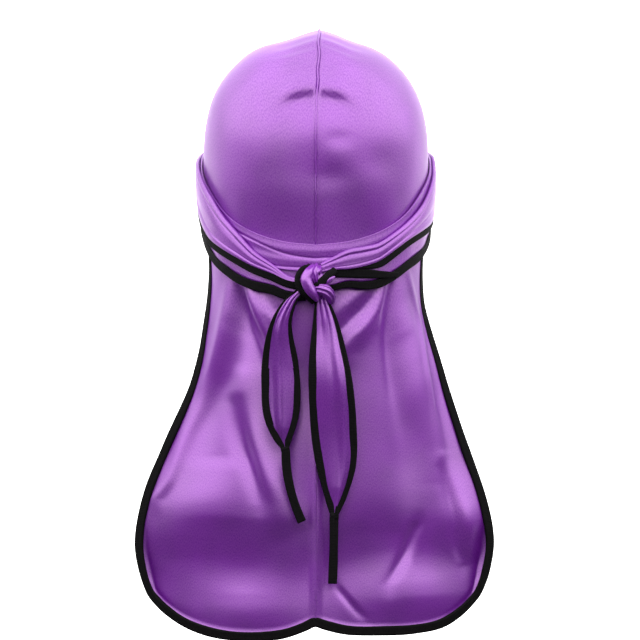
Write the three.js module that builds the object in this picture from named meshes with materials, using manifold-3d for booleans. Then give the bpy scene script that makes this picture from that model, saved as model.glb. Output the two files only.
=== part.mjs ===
// Durag: two cloth halves joined by a seam, a long flap, tied straps and two hanging tails.
// Millimetres, +Z up, +Y the way the wearer faces. The origin is where the top of the head rests.
import * as THREE from "three";
import { mergeVertices } from "three/addons/utils/BufferGeometryUtils.js";
import Module from "manifold-3d";

const wasm = await Module();
wasm.setup();

// Hollow for the head, measured inside the cloth
const headHalfWidth = 78.8;
const headHalfDepth = 96;
const crownHeight = 81;
const lowerHeadHeight = 150;
const headRoundness = 2.3;
const hangDepth = 142;
const hangBlend = 9;
const napeFlare = 0.06;
const crestHeight = 6;
const crestReach = 21;
const crestFoot = 0.42;
const crestShoulder = 0.1;

// Cloth, and the air between layers
const wall = 1.2;
const layerGap = 0.75;
const edgeGap = 0.4;

// Panels and flap
const napeDepth = 175;
const flapHalfWidth = 123;
const flapSideDrop = 220;
const hemDip = 27;
const flapCentreY = -112;
const flapSideY = -70;
const foldDepth = 5;
const foldClearSeam = 0.12;
const foldClearEdge = 0.25;
const foldClearNape = 0.12;
const flapBindingStart = 0.79;
const flapBindingWidth = 6;
const bindingGap = 0.8;
const bindingWall = 1;

// Seam, wrap and straps
const seamWidth = 2.4;
const seamHeight = 1;
const wrapWidth = 30;
const wrapThickness = 1;
const wrapFold = 0.5;
const strapWidth = 42;
const strapFaceThickness = 2.4;
const strapLipThickness = 1;
const strapBindingWidth = 4.4;
const lowerBindingThickness = 1.3;
const leftBindingStart = 12;
const rightBindingStart = 19;

// Knot and tails
const knotHalfWidth = 12.5;
const knotHalfHeight = 13.5;
const knotHalfDepth = 7;
const knotCoreWidth = 0.72;
const knotCoreHeight = 0.78;
const knotShift = -1;
const knotRibbonWidth = 6.5;
const knotRibbonThickness = 3;
const knotBindingWidth = 4.6;
const tailLeftTop = 0.1;
const tailLeftLength = 112;
const tailLeftHalfWidth = 13.2;
const tailRightTop = 0.5;
const tailRightLength = 152;
const tailRightHalfWidth = 15.6;
const tailStandOff = 4.5;
const tailSettle = 0.4;
const tailBulge = 2.5;
const tailSteepest = 0.4;
const tailBindingWidth = 5.4;
const tailGather = 0.5;
const tailTopEdge = 0.42;
const tapeWidth = 6;
const tapeLeftLength = 47;
const tapeLeftDrift = 11;
const tapeRightLength = 43;
const tapeRightDrift = -1;

// Mesh density, and how often headToward closes in on the surface
const panelColumns = 10;
const crownRows = 24;
const flapRows = 17;
const seamSteps = 28;
const strapStep = 6.5;
const tailRows = 16;
const tailColumns = 5;
const surfaceRounds = 30;

// Where the panel's side edge runs from forehead to nape, in degrees from the back and shares of
// napeDepth
const sideEdge = [
  { along: 0, angle: 130, depth: 0.5 },
  { along: 0.35, angle: 111, depth: 0.58 },
  { along: 0.65, angle: 92, depth: 0.69 },
  { along: 0.85, angle: 74, depth: 0.815 },
  { along: 1, angle: 66, depth: 0.96 },
];
const frontHemDepth = 0.38;
const napeRowDepth = 1.063;
const frontHemAngle = 180;

// Flap's side edges: share of the drop, and the half width there as a share of flapHalfWidth
const flapEdge = [
  { drop: 0, left: 0.585, right: 0.58 },
  { drop: 0.08, left: 0.6, right: 0.592 },
  { drop: 0.17, left: 0.624, right: 0.632 },
  { drop: 0.26, left: 0.652, right: 0.685 },
  { drop: 0.36, left: 0.705, right: 0.738 },
  { drop: 0.53, left: 0.84, right: 0.838 },
  { drop: 0.69, left: 0.955, right: 0.938 },
  { drop: 0.83, left: 1, right: 0.985 },
  { drop: 0.93, left: 0.975, right: 0.958 },
  { drop: 1, left: 0.93, right: 0.91 },
];

// Hem from the seam to the corner: how far it hangs below the corner, as a share of hemDip
const hemLine = [
  { across: 0, left: 0.58, right: 0.6 },
  { across: 0.06, left: 0.72, right: 0.69 },
  { across: 0.2, left: 0.92, right: 0.82 },
  { across: 0.4, left: 1, right: 0.85 },
  { across: 0.6, left: 0.94, right: 0.84 },
  { across: 0.77, left: 0.73, right: 0.72 },
  { across: 0.9, left: 0.4, right: 0.4 },
  { across: 1, left: 0, right: 0 },
];

// Folds of the flap. across and drop are shares of the half width and of the flap's height,
// width is a share of the half width and height a share of foldDepth
const flapFolds = [
  { side: -1, topAcross: 0.9, endAcross: 0.9, topDrop: 0.02, endDrop: 0.75, width: 0.07, height: 0.75 },
  { side: -1, topAcross: 0.8, endAcross: 0.3, topDrop: 0.0, endDrop: 0.42, width: 0.08, height: 0.8 },
  { side: -1, topAcross: 0.74, endAcross: 0.62, topDrop: 0.02, endDrop: 0.9, width: 0.12, height: 0.7 },
  { side: -1, topAcross: 0.25, endAcross: 0.4, topDrop: 0.3, endDrop: 1.1, width: 0.14, height: 0.55 },
  { side: 1, topAcross: 0.8, endAcross: 0.28, topDrop: 0.0, endDrop: 0.36, width: 0.08, height: 0.8 },
  { side: 1, topAcross: 0.84, endAcross: 0.72, topDrop: 0.02, endDrop: 0.95, width: 0.11, height: 0.8 },
  { side: 1, topAcross: 0.8, endAcross: 0.93, topDrop: 0.5, endDrop: 0.98, width: 0.06, height: 0.8 },
  { side: 1, topAcross: 0.3, endAcross: 0.45, topDrop: 0.3, endDrop: 1.1, width: 0.14, height: 0.5 },
];

// First pass of the ties: degrees from the back, top edge as a share of napeDepth,
// height as a share of wrapWidth
const wrapCourse = [
  { angle: 0, top: 0.846, height: 0.5 },
  { angle: 14, top: 0.831, height: 0.54 },
  { angle: 27, top: 0.794, height: 0.64 },
  { angle: 41, top: 0.729, height: 0.76 },
  { angle: 60, top: 0.611, height: 0.9 },
  { angle: 90, top: 0.491, height: 0.94 },
  { angle: 112, top: 0.437, height: 0.94 },
  { angle: 135, top: 0.38, height: 0.94 },
  { angle: 180, top: 0.3, height: 0.94 },
];

// Second pass, folded lengthwise. Degrees run from the knot round the wearer's own side, over the
// forehead and on to where the end is tucked in. top is a share of napeDepth; face and lip are
// shares of strapWidth, measured down from the top edge
const frontCourse = [
  { angle: 100, top: 0.468, face: 0.54, lip: 0.76 },
  { angle: 112, top: 0.446, face: 0.47, lip: 0.62 },
  { angle: 125, top: 0.424, face: 0.4, lip: 0.5 },
  { angle: 138, top: 0.41, face: 0.33, lip: 0.43 },
  { angle: 150, top: 0.403, face: 0.33, lip: 0.43 },
  { angle: 165, top: 0.4, face: 0.33, lip: 0.43 },
  { angle: 180, top: 0.331, face: 0.32, lip: 0.42 },
  { angle: 195, top: 0.263, face: 0.31, lip: 0.4 },
  { angle: 210, top: 0.263, face: 0.31, lip: 0.4 },
  { angle: 220, top: 0.34, face: 0.32, lip: 0.41 },
  { angle: 228, top: 0.416, face: 0.32, lip: 0.41 },
];
const leftCourse = [
  { angle: 2, top: 0.985, face: 0.06, lip: 0.18 },
  { angle: 11, top: 0.968, face: 0.07, lip: 0.24 },
  { angle: 17.5, top: 0.923, face: 0.14, lip: 0.33 },
  { angle: 26, top: 0.869, face: 0.24, lip: 0.48 },
  { angle: 34, top: 0.8, face: 0.38, lip: 0.66 },
  { angle: 43, top: 0.729, face: 0.52, lip: 0.79 },
  { angle: 53, top: 0.646, face: 0.69, lip: 0.95 },
  { angle: 70, top: 0.549, face: 0.7, lip: 0.98 },
  { angle: 90, top: 0.486, face: 0.56, lip: 0.86 },
  ...frontCourse,
];
const rightCourse = [
  { angle: 2, top: 0.92, face: 0.14, lip: 0.32 },
  { angle: 7, top: 0.895, face: 0.2, lip: 0.36 },
  { angle: 13, top: 0.866, face: 0.31, lip: 0.44 },
  { angle: 19, top: 0.855, face: 0.31, lip: 0.47 },
  { angle: 26, top: 0.84, face: 0.28, lip: 0.5 },
  { angle: 34, top: 0.8, face: 0.26, lip: 0.58 },
  { angle: 43, top: 0.751, face: 0.28, lip: 0.64 },
  { angle: 53, top: 0.694, face: 0.38, lip: 0.74 },
  { angle: 70, top: 0.594, face: 0.62, lip: 0.9 },
  { angle: 90, top: 0.514, face: 0.72, lip: 0.92 },
  ...frontCourse,
];

// Which layer a strap lies in: it rises over the other strap's tucked end, and the straps cross
// on the forehead with the left one on top
const leftLayers = [
  { angle: 0, layer: 0 },
  { angle: 117, layer: 0 },
  { angle: 129, layer: 1 },
  { angle: 196, layer: 1 },
  { angle: 209, layer: 0 },
  { angle: 360, layer: 0 },
];
const rightLayers = [
  { angle: 0, layer: 0 },
  { angle: 117, layer: 0 },
  { angle: 129, layer: 1 },
  { angle: 151, layer: 1 },
  { angle: 164, layer: 0 },
  { angle: 360, layer: 0 },
];

// Tails: share of the length, middle and outer half width as shares of the tail's half width
const tailLeftShape = [
  { down: 0, middle: -0.55, half: 0.2 },
  { down: 0.09, middle: -1.3, half: 0.36 },
  { down: 0.24, middle: -1.8, half: 0.58 },
  { down: 0.46, middle: -1.83, half: 0.94 },
  { down: 0.62, middle: -1.78, half: 1 },
  { down: 0.78, middle: -1.77, half: 0.91 },
  { down: 0.9, middle: -1.7, half: 0.55 },
  { down: 1, middle: -1.53, half: 0.1 },
];
const tailRightShape = [
  { down: 0, middle: 0.22, half: 0.24 },
  { down: 0.12, middle: 0.42, half: 0.54 },
  { down: 0.28, middle: 0.55, half: 0.84 },
  { down: 0.44, middle: 0.68, half: 0.98 },
  { down: 0.6, middle: 0.78, half: 1 },
  { down: 0.76, middle: 0.88, half: 0.87 },
  { down: 0.88, middle: 0.87, half: 0.54 },
  { down: 1, middle: 0.79, half: 0.1 },
];

// Knot: loops of ribbon as shares of the knot's half sizes, out towards the viewer behind
const knotLoop = [
  { x: -0.1, out: 0.35, z: 0.95 },
  { x: -0.55, out: 0.75, z: 0.75 },
  { x: -0.68, out: 0.95, z: 0.15 },
  { x: -0.35, out: 1, z: -0.4 },
  { x: 0.15, out: 0.55, z: -0.95 },
];
const knotTurn = [
  { x: -0.05, out: 0.85, z: -0.1 },
  { x: 0.45, out: 0.95, z: -0.2 },
  { x: 0.8, out: 0.65, z: -0.5 },
  { x: 0.85, out: 0.15, z: -0.9 },
];
const knotTop = [
  { x: 0.3, out: -0.2, z: 0.75 },
  { x: 0.05, out: 0.6, z: 0.72 },
  { x: 0.1, out: 0.8, z: 0.25 },
];
const knotLoopEdge = [
  { x: -0.35, out: 0.3, z: 1.05 },
  { x: -0.92, out: 0.45, z: 0.8 },
  { x: -1.1, out: 0.55, z: 0.1 },
  { x: -0.78, out: 0.6, z: -0.55 },
  { x: -0.1, out: 0.45, z: -1.05 },
];
const knotCrossEdge = [
  { x: 1.02, out: 0.1, z: 0.72 },
  { x: 0.6, out: 0.75, z: 0.42 },
  { x: 0.18, out: 0.95, z: 0.02 },
];

// Layers over the cloth
const wrapInner = wall + layerGap;
const wrapOuter = wrapInner + wrapThickness + wrapFold;
const strapInner = wrapOuter + layerGap;
const strapRise = strapFaceThickness + layerGap;

const radians = THREE.MathUtils.degToRad;

// Smooth curve through a table's column
function along(table, key, column, at) {
  const last = table.length - 1;
  let i = 0;
  while (i < last - 1 && at > table[i + 1][key]) i += 1;
  const slope = (a, b) => (table[b][column] - table[a][column]) / (table[b][key] - table[a][key]);
  const span = table[i + 1][key] - table[i][key];
  const share = THREE.MathUtils.clamp((at - table[i][key]) / span, 0, 1);
  const startSlope = i > 0 ? slope(i - 1, i + 1) : slope(i, i + 1);
  const endSlope = i + 1 < last ? slope(i, i + 2) : slope(i, i + 1);
  const s2 = share * share;
  const s3 = s2 * share;
  return (2 * s3 - 3 * s2 + 1) * table[i][column] + (s3 - 2 * s2 + share) * span * startSlope
    + (3 * s2 - 2 * s3) * table[i + 1][column] + (s3 - s2) * span * endSlope;
}

// Straight line through a table's column
function straight(table, key, column, at) {
  let i = 0;
  while (i < table.length - 2 && at > table[i + 1][key]) i += 1;
  const share = (at - table[i][key]) / (table[i + 1][key] - table[i][key]);
  return THREE.MathUtils.lerp(table[i][column], table[i + 1][column], THREE.MathUtils.clamp(share, 0, 1));
}

// The seam stands up in a soft crest over the crown and dies out towards the hems
function crest(x, z) {
  const fade = THREE.MathUtils.smoothstep(z, -crestFoot * crownHeight, -crestShoulder * crownHeight);
  return crestHeight * fade * Math.exp(-Math.abs(x) / crestReach);
}

// Head's plan half sizes at a height, as one share of the widest section. Below hangDepth the
// cloth hangs from the nape instead of following the neck in
function sectionShare(z, offset) {
  const hung = hangBlend * Math.log(1 + Math.exp((z + hangDepth) / hangBlend)) - hangDepth;
  const height = (z > -crownHeight ? crownHeight : lowerHeadHeight) + offset;
  const rise = Math.abs((z > -crownHeight ? z : hung) + crownHeight) / height;
  return Math.pow(Math.max(1 - Math.pow(rise, headRoundness), 0), 1 / headRoundness);
}

// Distance from the head's axis to its surface, at a plan angle from the back and a height
function planRadius(angle, z, offset) {
  const share = sectionShare(z, offset);
  const x = Math.abs(Math.sin(angle)) / ((headHalfWidth + offset) * share);
  const y = Math.abs(Math.cos(angle)) / ((headHalfDepth + offset) * share);
  const flare = napeFlare * hangBlend * Math.log(1 + Math.exp((-hangDepth - z) / hangBlend));
  return Math.pow(Math.pow(x, headRoundness) + Math.pow(y, headRoundness), -1 / headRoundness) + flare;
}

function headAt(angle, z, offset) {
  const radius = planRadius(angle, z, offset);
  return new THREE.Vector3(radius * Math.sin(angle), -radius * Math.cos(angle), z);
}

// Point on the head's surface in a direction from the middle of the head
function headToward(direction, offset) {
  let reach = headHalfWidth;
  if (direction.z > 0) {
    const parts = [
      Math.abs(direction.x) / (headHalfWidth + offset),
      Math.abs(direction.y) / (headHalfDepth + offset),
      direction.z / (crownHeight + offset),
    ];
    const power = parts.reduce((sum, part) => sum + Math.pow(part, headRoundness), 0);
    reach = Math.pow(power, -1 / headRoundness);
    reach += crest(reach * direction.x, reach * direction.z - crownHeight);
  } else {
    const angle = Math.atan2(direction.x, -direction.y);
    const level = Math.hypot(direction.x, direction.y);
    for (let i = 0; i < surfaceRounds; i += 1) {
      reach = planRadius(angle, reach * direction.z - crownHeight, offset) / level;
    }
  }
  return direction.clone().multiplyScalar(reach).add(new THREE.Vector3(0, 0, -crownHeight));
}

function directionTo(angleDegrees, depth) {
  const point = headAt(radians(angleDegrees), -depth * napeDepth, 0);
  return point.add(new THREE.Vector3(0, 0, crownHeight)).normalize();
}

// Great-circle blend between two directions
function turn(from, to, share) {
  const angle = from.angleTo(to);
  const a = Math.sin((1 - share) * angle) / Math.sin(angle);
  const b = Math.sin(share * angle) / Math.sin(angle);
  return from.clone().multiplyScalar(a).addScaledVector(to, b);
}

// Crown half: row 0 is the forehead hem and row 1 the nape, column 0 the seam and 1 the side edge
function crownPoint(side, across, row) {
  const front = directionTo(frontHemAngle, frontHemDepth);
  const back = directionTo(0, napeRowDepth);
  const frontTilt = Math.atan2(front.z, front.y);
  const backTilt = Math.atan2(back.z, back.y) + 2 * Math.PI;
  const tilt = THREE.MathUtils.lerp(frontTilt, backTilt, row);
  const seam = new THREE.Vector3(0, Math.cos(tilt), Math.sin(tilt));
  const edge = directionTo(along(sideEdge, "along", "angle", row), along(sideEdge, "along", "depth", row));
  const point = headToward(turn(seam, edge, across), 0);
  return point.setX(side * Math.max(point.x, edgeGap / 2));
}

// Flap half, blended between its four edges; drop 0 is the nape row and 1 the hem
function flapBase(side, across, drop) {
  const column = side < 0 ? "left" : "right";
  const corner = crownPoint(side, 1, 1);
  const top = crownPoint(side, across, 1);
  const seamTop = crownPoint(side, 0, 1);
  const cornerX = along(flapEdge, "drop", column, 1) * flapHalfWidth;
  const cornerZ = corner.z - flapSideDrop;
  const hemAt = (share) => new THREE.Vector3(
    side * Math.max(share * cornerX, edgeGap / 2),
    THREE.MathUtils.lerp(flapCentreY, flapSideY, share * share),
    cornerZ - hemDip * along(hemLine, "across", column, share),
  );
  const seamHem = hemAt(0);
  const edgeX = (share) => side * along(flapEdge, "drop", column, share) * flapHalfWidth;
  const edge = new THREE.Vector3(
    edgeX(drop) + (corner.x - edgeX(0)) * Math.pow(1 - drop, 6),
    THREE.MathUtils.lerp(corner.y, flapSideY, Math.pow(drop, 0.8)),
    corner.z - drop * flapSideDrop,
  );
  const seam = seamTop.clone().lerp(seamHem, drop);
  const flat = new THREE.Vector3();
  flat.addScaledVector(top, 1 - drop).addScaledVector(hemAt(across), drop);
  flat.addScaledVector(seam, 1 - across).addScaledVector(edge, across);
  flat.addScaledVector(seamTop, -(1 - across) * (1 - drop)).addScaledVector(seamHem, -(1 - across) * drop);
  flat.addScaledVector(corner, -across * (1 - drop)).addScaledVector(hemAt(1), -across * drop);
  return flat.setX(side * Math.max(side * flat.x, edgeGap / 2));
}

// Soft ridges that start at the gathers under the straps and run down the flap
function foldHeight(side, across, drop) {
  let height = 0;
  for (const fold of flapFolds) {
    if (fold.side !== side) continue;
    const run = (drop - fold.topDrop) / (fold.endDrop - fold.topDrop);
    if (run <= 0 || run >= 1) continue;
    const middle = THREE.MathUtils.lerp(fold.topAcross, fold.endAcross, Math.pow(run, 0.8));
    const spread = fold.width * (0.6 + run);
    const fade = Math.sin(Math.PI * Math.pow(run, 0.6));
    height += foldDepth * fold.height * fade * Math.exp(-Math.pow((across - middle) / spread, 2));
  }
  const seamFade = THREE.MathUtils.smoothstep(across, 0, foldClearSeam);
  const edgeFade = THREE.MathUtils.smoothstep(1 - across, 0, foldClearEdge);
  return height * seamFade * edgeFade * THREE.MathUtils.smoothstep(drop, 0, foldClearNape);
}

function flapPoint(side, across, drop) {
  const point = flapBase(side, across, drop);
  const outward = new THREE.Vector3(point.x / flapHalfWidth, -1, 0).normalize();
  return point.addScaledVector(outward, foldHeight(side, across, drop));
}

// Grid of points with a normal at each, turned outwards from the head's axis
function withNormals(points) {
  const rows = points.length;
  const columns = points[0].length;
  return points.map((line, r) => line.map((point, c) => {
    const rowStep = points[Math.min(r + 1, rows - 1)][c].clone().sub(points[Math.max(r - 1, 0)][c]);
    const columnStep = line[Math.min(c + 1, columns - 1)].clone().sub(line[Math.max(c - 1, 0)]);
    const normal = rowStep.cross(columnStep).normalize();
    const outward = point.clone().setZ(Math.min(point.z + crownHeight, crownHeight) * (point.z > -crownHeight));
    return { point, normal: normal.dot(outward) < 0 ? normal.negate() : normal };
  }));
}

function volumeOf(points, faces) {
  return faces.reduce((sum, [a, b, c]) => sum + points[a].dot(points[b].clone().cross(points[c])) / 6, 0);
}

// Closed solid from points and faces, with its faces pointing out
function solidFrom(points, faces) {
  const flip = volumeOf(points, faces) < 0;
  const geometry = new THREE.BufferGeometry();
  geometry.setAttribute("position", new THREE.Float32BufferAttribute(points.flatMap((p) => p.toArray()), 3));
  geometry.setIndex(faces.flatMap(([a, b, c]) => (flip ? [a, c, b] : [a, b, c])));
  return geometry;
}

// Solid between two grids of the same size, closed round its rim
function shell(outer, inner) {
  const rows = outer.length;
  const columns = outer[0].length;
  const points = [...outer.flat(), ...inner.flat()];
  const at = (r, c) => r * columns + c;
  const faces = [];
  const quad = (a, b, c, d) => faces.push([a, b, c], [a, c, d]);
  const under = rows * columns;
  for (let r = 0; r < rows - 1; r += 1) {
    for (let c = 0; c < columns - 1; c += 1) {
      quad(at(r, c), at(r + 1, c), at(r + 1, c + 1), at(r, c + 1));
      quad(under + at(r, c), under + at(r, c + 1), under + at(r + 1, c + 1), under + at(r + 1, c));
    }
  }
  const rim = [];
  for (let r = 0; r < rows - 1; r += 1) rim.push(at(r, 0));
  for (let c = 0; c < columns - 1; c += 1) rim.push(at(rows - 1, c));
  for (let r = rows - 1; r > 0; r -= 1) rim.push(at(r, columns - 1));
  for (let c = columns - 1; c > 0; c -= 1) rim.push(at(0, c));
  rim.forEach((a, i) => {
    const b = rim[(i + 1) % rim.length];
    quad(a, under + a, under + b, b);
  });
  return solidFrom(points, faces);
}

// Solid through a row of sections, closed into a ring or capped at both ends
function sweep(sections, ring = false) {
  const size = sections[0].length;
  const points = sections.flat();
  const faces = [];
  const spans = ring ? sections.length : sections.length - 1;
  for (let s = 0; s < spans; s += 1) {
    const next = ((s + 1) % sections.length) * size;
    for (let k = 0; k < size; k += 1) {
      const j = (k + 1) % size;
      faces.push([s * size + k, s * size + j, next + j], [s * size + k, next + j, next + k]);
    }
  }
  if (!ring) {
    const cap = THREE.ShapeUtils.triangulateShape(flatSection(sections[0]), []);
    const end = (sections.length - 1) * size;
    const forward = cap.map(([a, b, c]) => [a, c, b]);
    faces.push(...forward, ...cap.map(([a, b, c]) => [end + a, end + b, end + c]));
  }
  return solidFrom(points, faces);
}

// A section's outline in its own plane, turned counter-clockwise as the cap needs it
function flatSection(section) {
  const first = section[1].clone().sub(section[0]).normalize();
  const normal = new THREE.Vector3();
  section.forEach((point, i) => normal.add(point.clone().cross(section[(i + 1) % section.length])));
  const second = normal.normalize().cross(first);
  return section.map((point) => {
    const step = point.clone().sub(section[0]);
    return new THREE.Vector2(step.dot(first), step.dot(second));
  });
}

function cloth(name, geometry, color, roughness) {
  const material = new THREE.MeshStandardMaterial({ color, roughness, metalness: 0 });
  const mesh = new THREE.Mesh(geometry, material);
  mesh.name = name;
  return mesh;
}

const satin = (name, geometry) => cloth(name, geometry, "#8e4fb0", 0.42);
const tape = (name, geometry) => cloth(name, geometry, "#141016", 0.8);

// One half of the cloth, from the forehead hem over the crown to the flap's hem
function panelGrid(side) {
  const lines = [];
  const columns = [...Array(panelColumns + 1).keys()].map((c) => c / panelColumns);
  for (let r = 0; r < crownRows; r += 1) {
    lines.push(columns.map((across) => crownPoint(side, across, r / crownRows)));
  }
  for (let r = 0; r <= flapRows; r += 1) {
    lines.push(columns.map((across) => flapPoint(side, across, r / flapRows)));
  }
  return withNormals(lines);
}

function panel(name, side, grid) {
  const inner = grid.map((line) => line.map(({ point }) => point));
  const outer = grid.map((line) => line.map(({ point, normal }) => {
    const raised = point.clone().addScaledVector(normal, wall);
    return raised.setX(side * Math.max(side * raised.x, edgeGap / 2));
  }));
  return satin(name, shell(outer, inner));
}

// Stations along the flap's open edge: side edge down, hem in to the seam
function flapRim(grid) {
  const firstRow = grid.findIndex((line) => line[panelColumns].point.z < -flapBindingStart * napeDepth);
  const rim = [];
  for (let r = firstRow; r < grid.length; r += 1) rim.push(grid[r][panelColumns]);
  for (let c = panelColumns - 1; c >= 0; c -= 1) rim.push(grid[grid.length - 1][c]);
  return rim;
}

// Tape folded over the edge: a channel with the cloth's edge inside it
function flapBinding(leftGrid, rightGrid) {
  const rim = [...flapRim(leftGrid), ...flapRim(rightGrid).reverse()];
  const inner = wall / 2 + bindingGap;
  const outer = inner + bindingWall;
  const lap = bindingGap + bindingWall;
  const channel = [
    [lap - flapBindingWidth, outer], [lap, outer], [lap, -outer], [lap - flapBindingWidth, -outer],
    [lap - flapBindingWidth, -inner], [bindingGap, -inner], [bindingGap, inner], [lap - flapBindingWidth, inner],
  ];
  const middles = rim.map(({ point, normal }) => point.clone().addScaledVector(normal, wall / 2));
  const sections = rim.map(({ normal }, i) => {
    const run = middles[Math.min(i + 1, rim.length - 1)].clone().sub(middles[Math.max(i - 1, 0)]).normalize();
    const outward = run.cross(normal).normalize();
    return channel.map(([out, height]) => middles[i].clone()
      .addScaledVector(outward, out).addScaledVector(normal, height));
  });
  return tape("flap_binding", sweep(sections));
}

// Raised seam over the crown, from the front of the wrap to its back
function centreSeam() {
  const frontDepth = wrapCourse[wrapCourse.length - 1].top * napeDepth - wrapOuter;
  const backDepth = wrapCourse[0].top * napeDepth - wrapOuter;
  const front = directionTo(180, frontDepth / napeDepth);
  const back = directionTo(0, backDepth / napeDepth);
  const start = Math.atan2(front.z, front.y);
  const end = Math.atan2(back.z, back.y) + 2 * Math.PI;
  const low = wall + layerGap;
  const corners = [[-1, low], [1, low], [0.5, low + seamHeight], [-0.5, low + seamHeight]];
  const sections = [...Array(seamSteps + 1).keys()].map((i) => {
    const tilt = THREE.MathUtils.lerp(start, end, i / seamSteps);
    const direction = new THREE.Vector3(0, Math.cos(tilt), Math.sin(tilt));
    return corners.map(([x, height]) => headToward(direction, height).setX(x * seamWidth / 2));
  });
  return satin("centre_seam", sweep(sections));
}

// First pass of the ties, a closed round with two shallow folds across the nape
function innerWrap() {
  const steps = 2 * Math.round(180 / strapStep);
  const rows = [
    { share: 0, height: 0.7 }, { share: 0.28, height: 1 }, { share: 0.34, height: 0.15 },
    { share: 0.62, height: 0.9 }, { share: 0.68, height: 0.1 }, { share: 1, height: 0.6 },
  ];
  const sections = [...Array(steps).keys()].map((i) => {
    const angle = 360 * i / steps;
    const turned = Math.min(angle, 360 - angle);
    const top = -along(wrapCourse, "angle", "top", turned) * napeDepth;
    const height = along(wrapCourse, "angle", "height", turned) * wrapWidth;
    const at = (row, offset) => headAt(radians(angle), top - row.share * height, offset);
    const skin = wrapInner + wrapThickness;
    const outside = rows.map((row) => at(row, skin + row.height * wrapFold));
    const inside = rows.map((row) => at(row, wrapInner));
    return [...outside, ...inside.reverse()];
  });
  return satin("inner_wrap", sweep(sections, true));
}

// Strap's stations: place of its edges at each angle
function strapStations(side, course, layers) {
  const start = course[0].angle;
  const end = course[course.length - 1].angle;
  const steps = Math.round((end - start) / strapStep);
  return [...Array(steps + 1).keys()].map((i) => {
    const angle = THREE.MathUtils.lerp(start, end, i / steps);
    const top = -along(course, "angle", "top", angle) * napeDepth;
    return {
      angle,
      turned: side * radians(angle),
      top,
      face: along(course, "angle", "face", angle) * strapWidth,
      lip: along(course, "angle", "lip", angle) * strapWidth,
      offset: strapInner + straight(layers, "angle", "layer", angle) * strapRise,
    };
  });
}

// Strap folded lengthwise: a double face with a single lip showing below it
function strap(name, stations) {
  const sections = stations.map(({ turned, top, face, lip, offset }) => {
    const at = (down, height) => headAt(turned, top - down, offset + height);
    const outside = [
      at(0, 0.75 * strapFaceThickness), at(0.1 * face, strapFaceThickness), at(0.5 * face, strapFaceThickness),
      at(face, strapFaceThickness), at(face, strapLipThickness),
      at(0.5 * (face + lip), strapLipThickness), at(lip, strapLipThickness),
    ];
    const inside = [at(lip, 0), at(0.5 * (face + lip), 0), at(face, 0), at(0.5 * face, 0), at(0, 0)];
    return [...outside, ...inside];
  });
  return satin(name, sweep(sections));
}

// Black edge of the outer ply: it lies on the lip, just under the face
function upperBinding(name, stations, startAngle) {
  const sections = stations.filter(({ angle }) => angle >= startAngle)
    .map(({ turned, top, face, lip, offset }) => {
      const room = Math.min(strapBindingWidth, lip - face - edgeGap);
      const low = offset + strapLipThickness + edgeGap;
      const high = offset + strapFaceThickness;
      const from = top - face - edgeGap;
      return [
        headAt(turned, from, low), headAt(turned, from, high),
        headAt(turned, from - room, high), headAt(turned, from - room, low),
      ];
    });
  return tape(name, sweep(sections));
}

// Black edge of the inner ply, along the bottom of the lip
function lowerBinding(name, stations) {
  const sections = stations.map(({ turned, top, lip, offset }) => {
    const from = top - lip - edgeGap;
    const to = from - strapBindingWidth;
    const high = offset + lowerBindingThickness;
    return [
      headAt(turned, from, offset), headAt(turned, from, high),
      headAt(turned, to, high), headAt(turned, to, offset),
    ];
  });
  return tape(name, sweep(sections));
}

// Y of the flap's middle at a height
function flapMiddleY(z) {
  const top = crownPoint(1, 0, 1);
  const hem = flapBase(1, 0, 1);
  return THREE.MathUtils.mapLinear(z, top.z, hem.z, top.y, hem.y);
}

const knotCoreDepth = knotCoreWidth * knotHalfDepth;
const knotCentre = headAt(0, -napeDepth, wrapOuter + edgeGap + knotCoreDepth).setX(knotShift);

// A tail's leaf: rows of middle, outer half width and depth, down to the tape's cut end
function tailRowsFor(tail) {
  const place = (down) => {
    const leaf = Math.min(down, 1);
    const past = Math.max(down - 1, 0);
    const z = tail.top - leaf * tail.length - past * tail.tapeLength;
    const middle = along(tail.shape, "down", "middle", leaf) * tail.halfWidth;
    const half = along(tail.shape, "down", "half", leaf) * tail.halfWidth;
    const settle = THREE.MathUtils.smoothstep(down, 0, tailSettle);
    const outer = Math.max(half, tapeWidth / 2);
    const slim = down < tailGather ? tailTopEdge * outer : outer;
    return {
      z,
      middle: middle + past * past * tail.tapeDrift,
      half: outer,
      edge: Math.min(tailBindingWidth, slim),
      y: THREE.MathUtils.lerp(knotCentre.y, flapMiddleY(z) - tailStandOff, settle),
    };
  };
  const leafRows = [...Array(tailRows + 1).keys()].map((i) => place(i / tailRows));
  return { leafRows, tapeRows: [0.25, 0.5, 0.75, 1].map((past) => place(1 + past)) };
}

// Rows of a tail where cloth shows between its two black edges
const isOpen = ({ half, edge }) => half > edge + 2 * edgeGap;

// Leaf of cloth inside its black edge, bulging a little outwards
function tailCloth(name, tail) {
  const leaf = tailRowsFor(tail).leafRows.filter(isOpen);
  const front = leaf.map((row) => [...Array(tailColumns + 1).keys()].map((c) => {
    const q = 2 * c / tailColumns - 1;
    const reach = row.half - row.edge - edgeGap;
    const bulge = Math.min(tailBulge, tailSteepest * reach) * (1 - q * q);
    return new THREE.Vector3(row.middle + q * reach, row.y - bulge, row.z);
  }));
  const back = front.map((line) => line.map((point) => point.clone().add(new THREE.Vector3(0, wall, 0))));
  return satin(name, shell(front, back));
}

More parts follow.
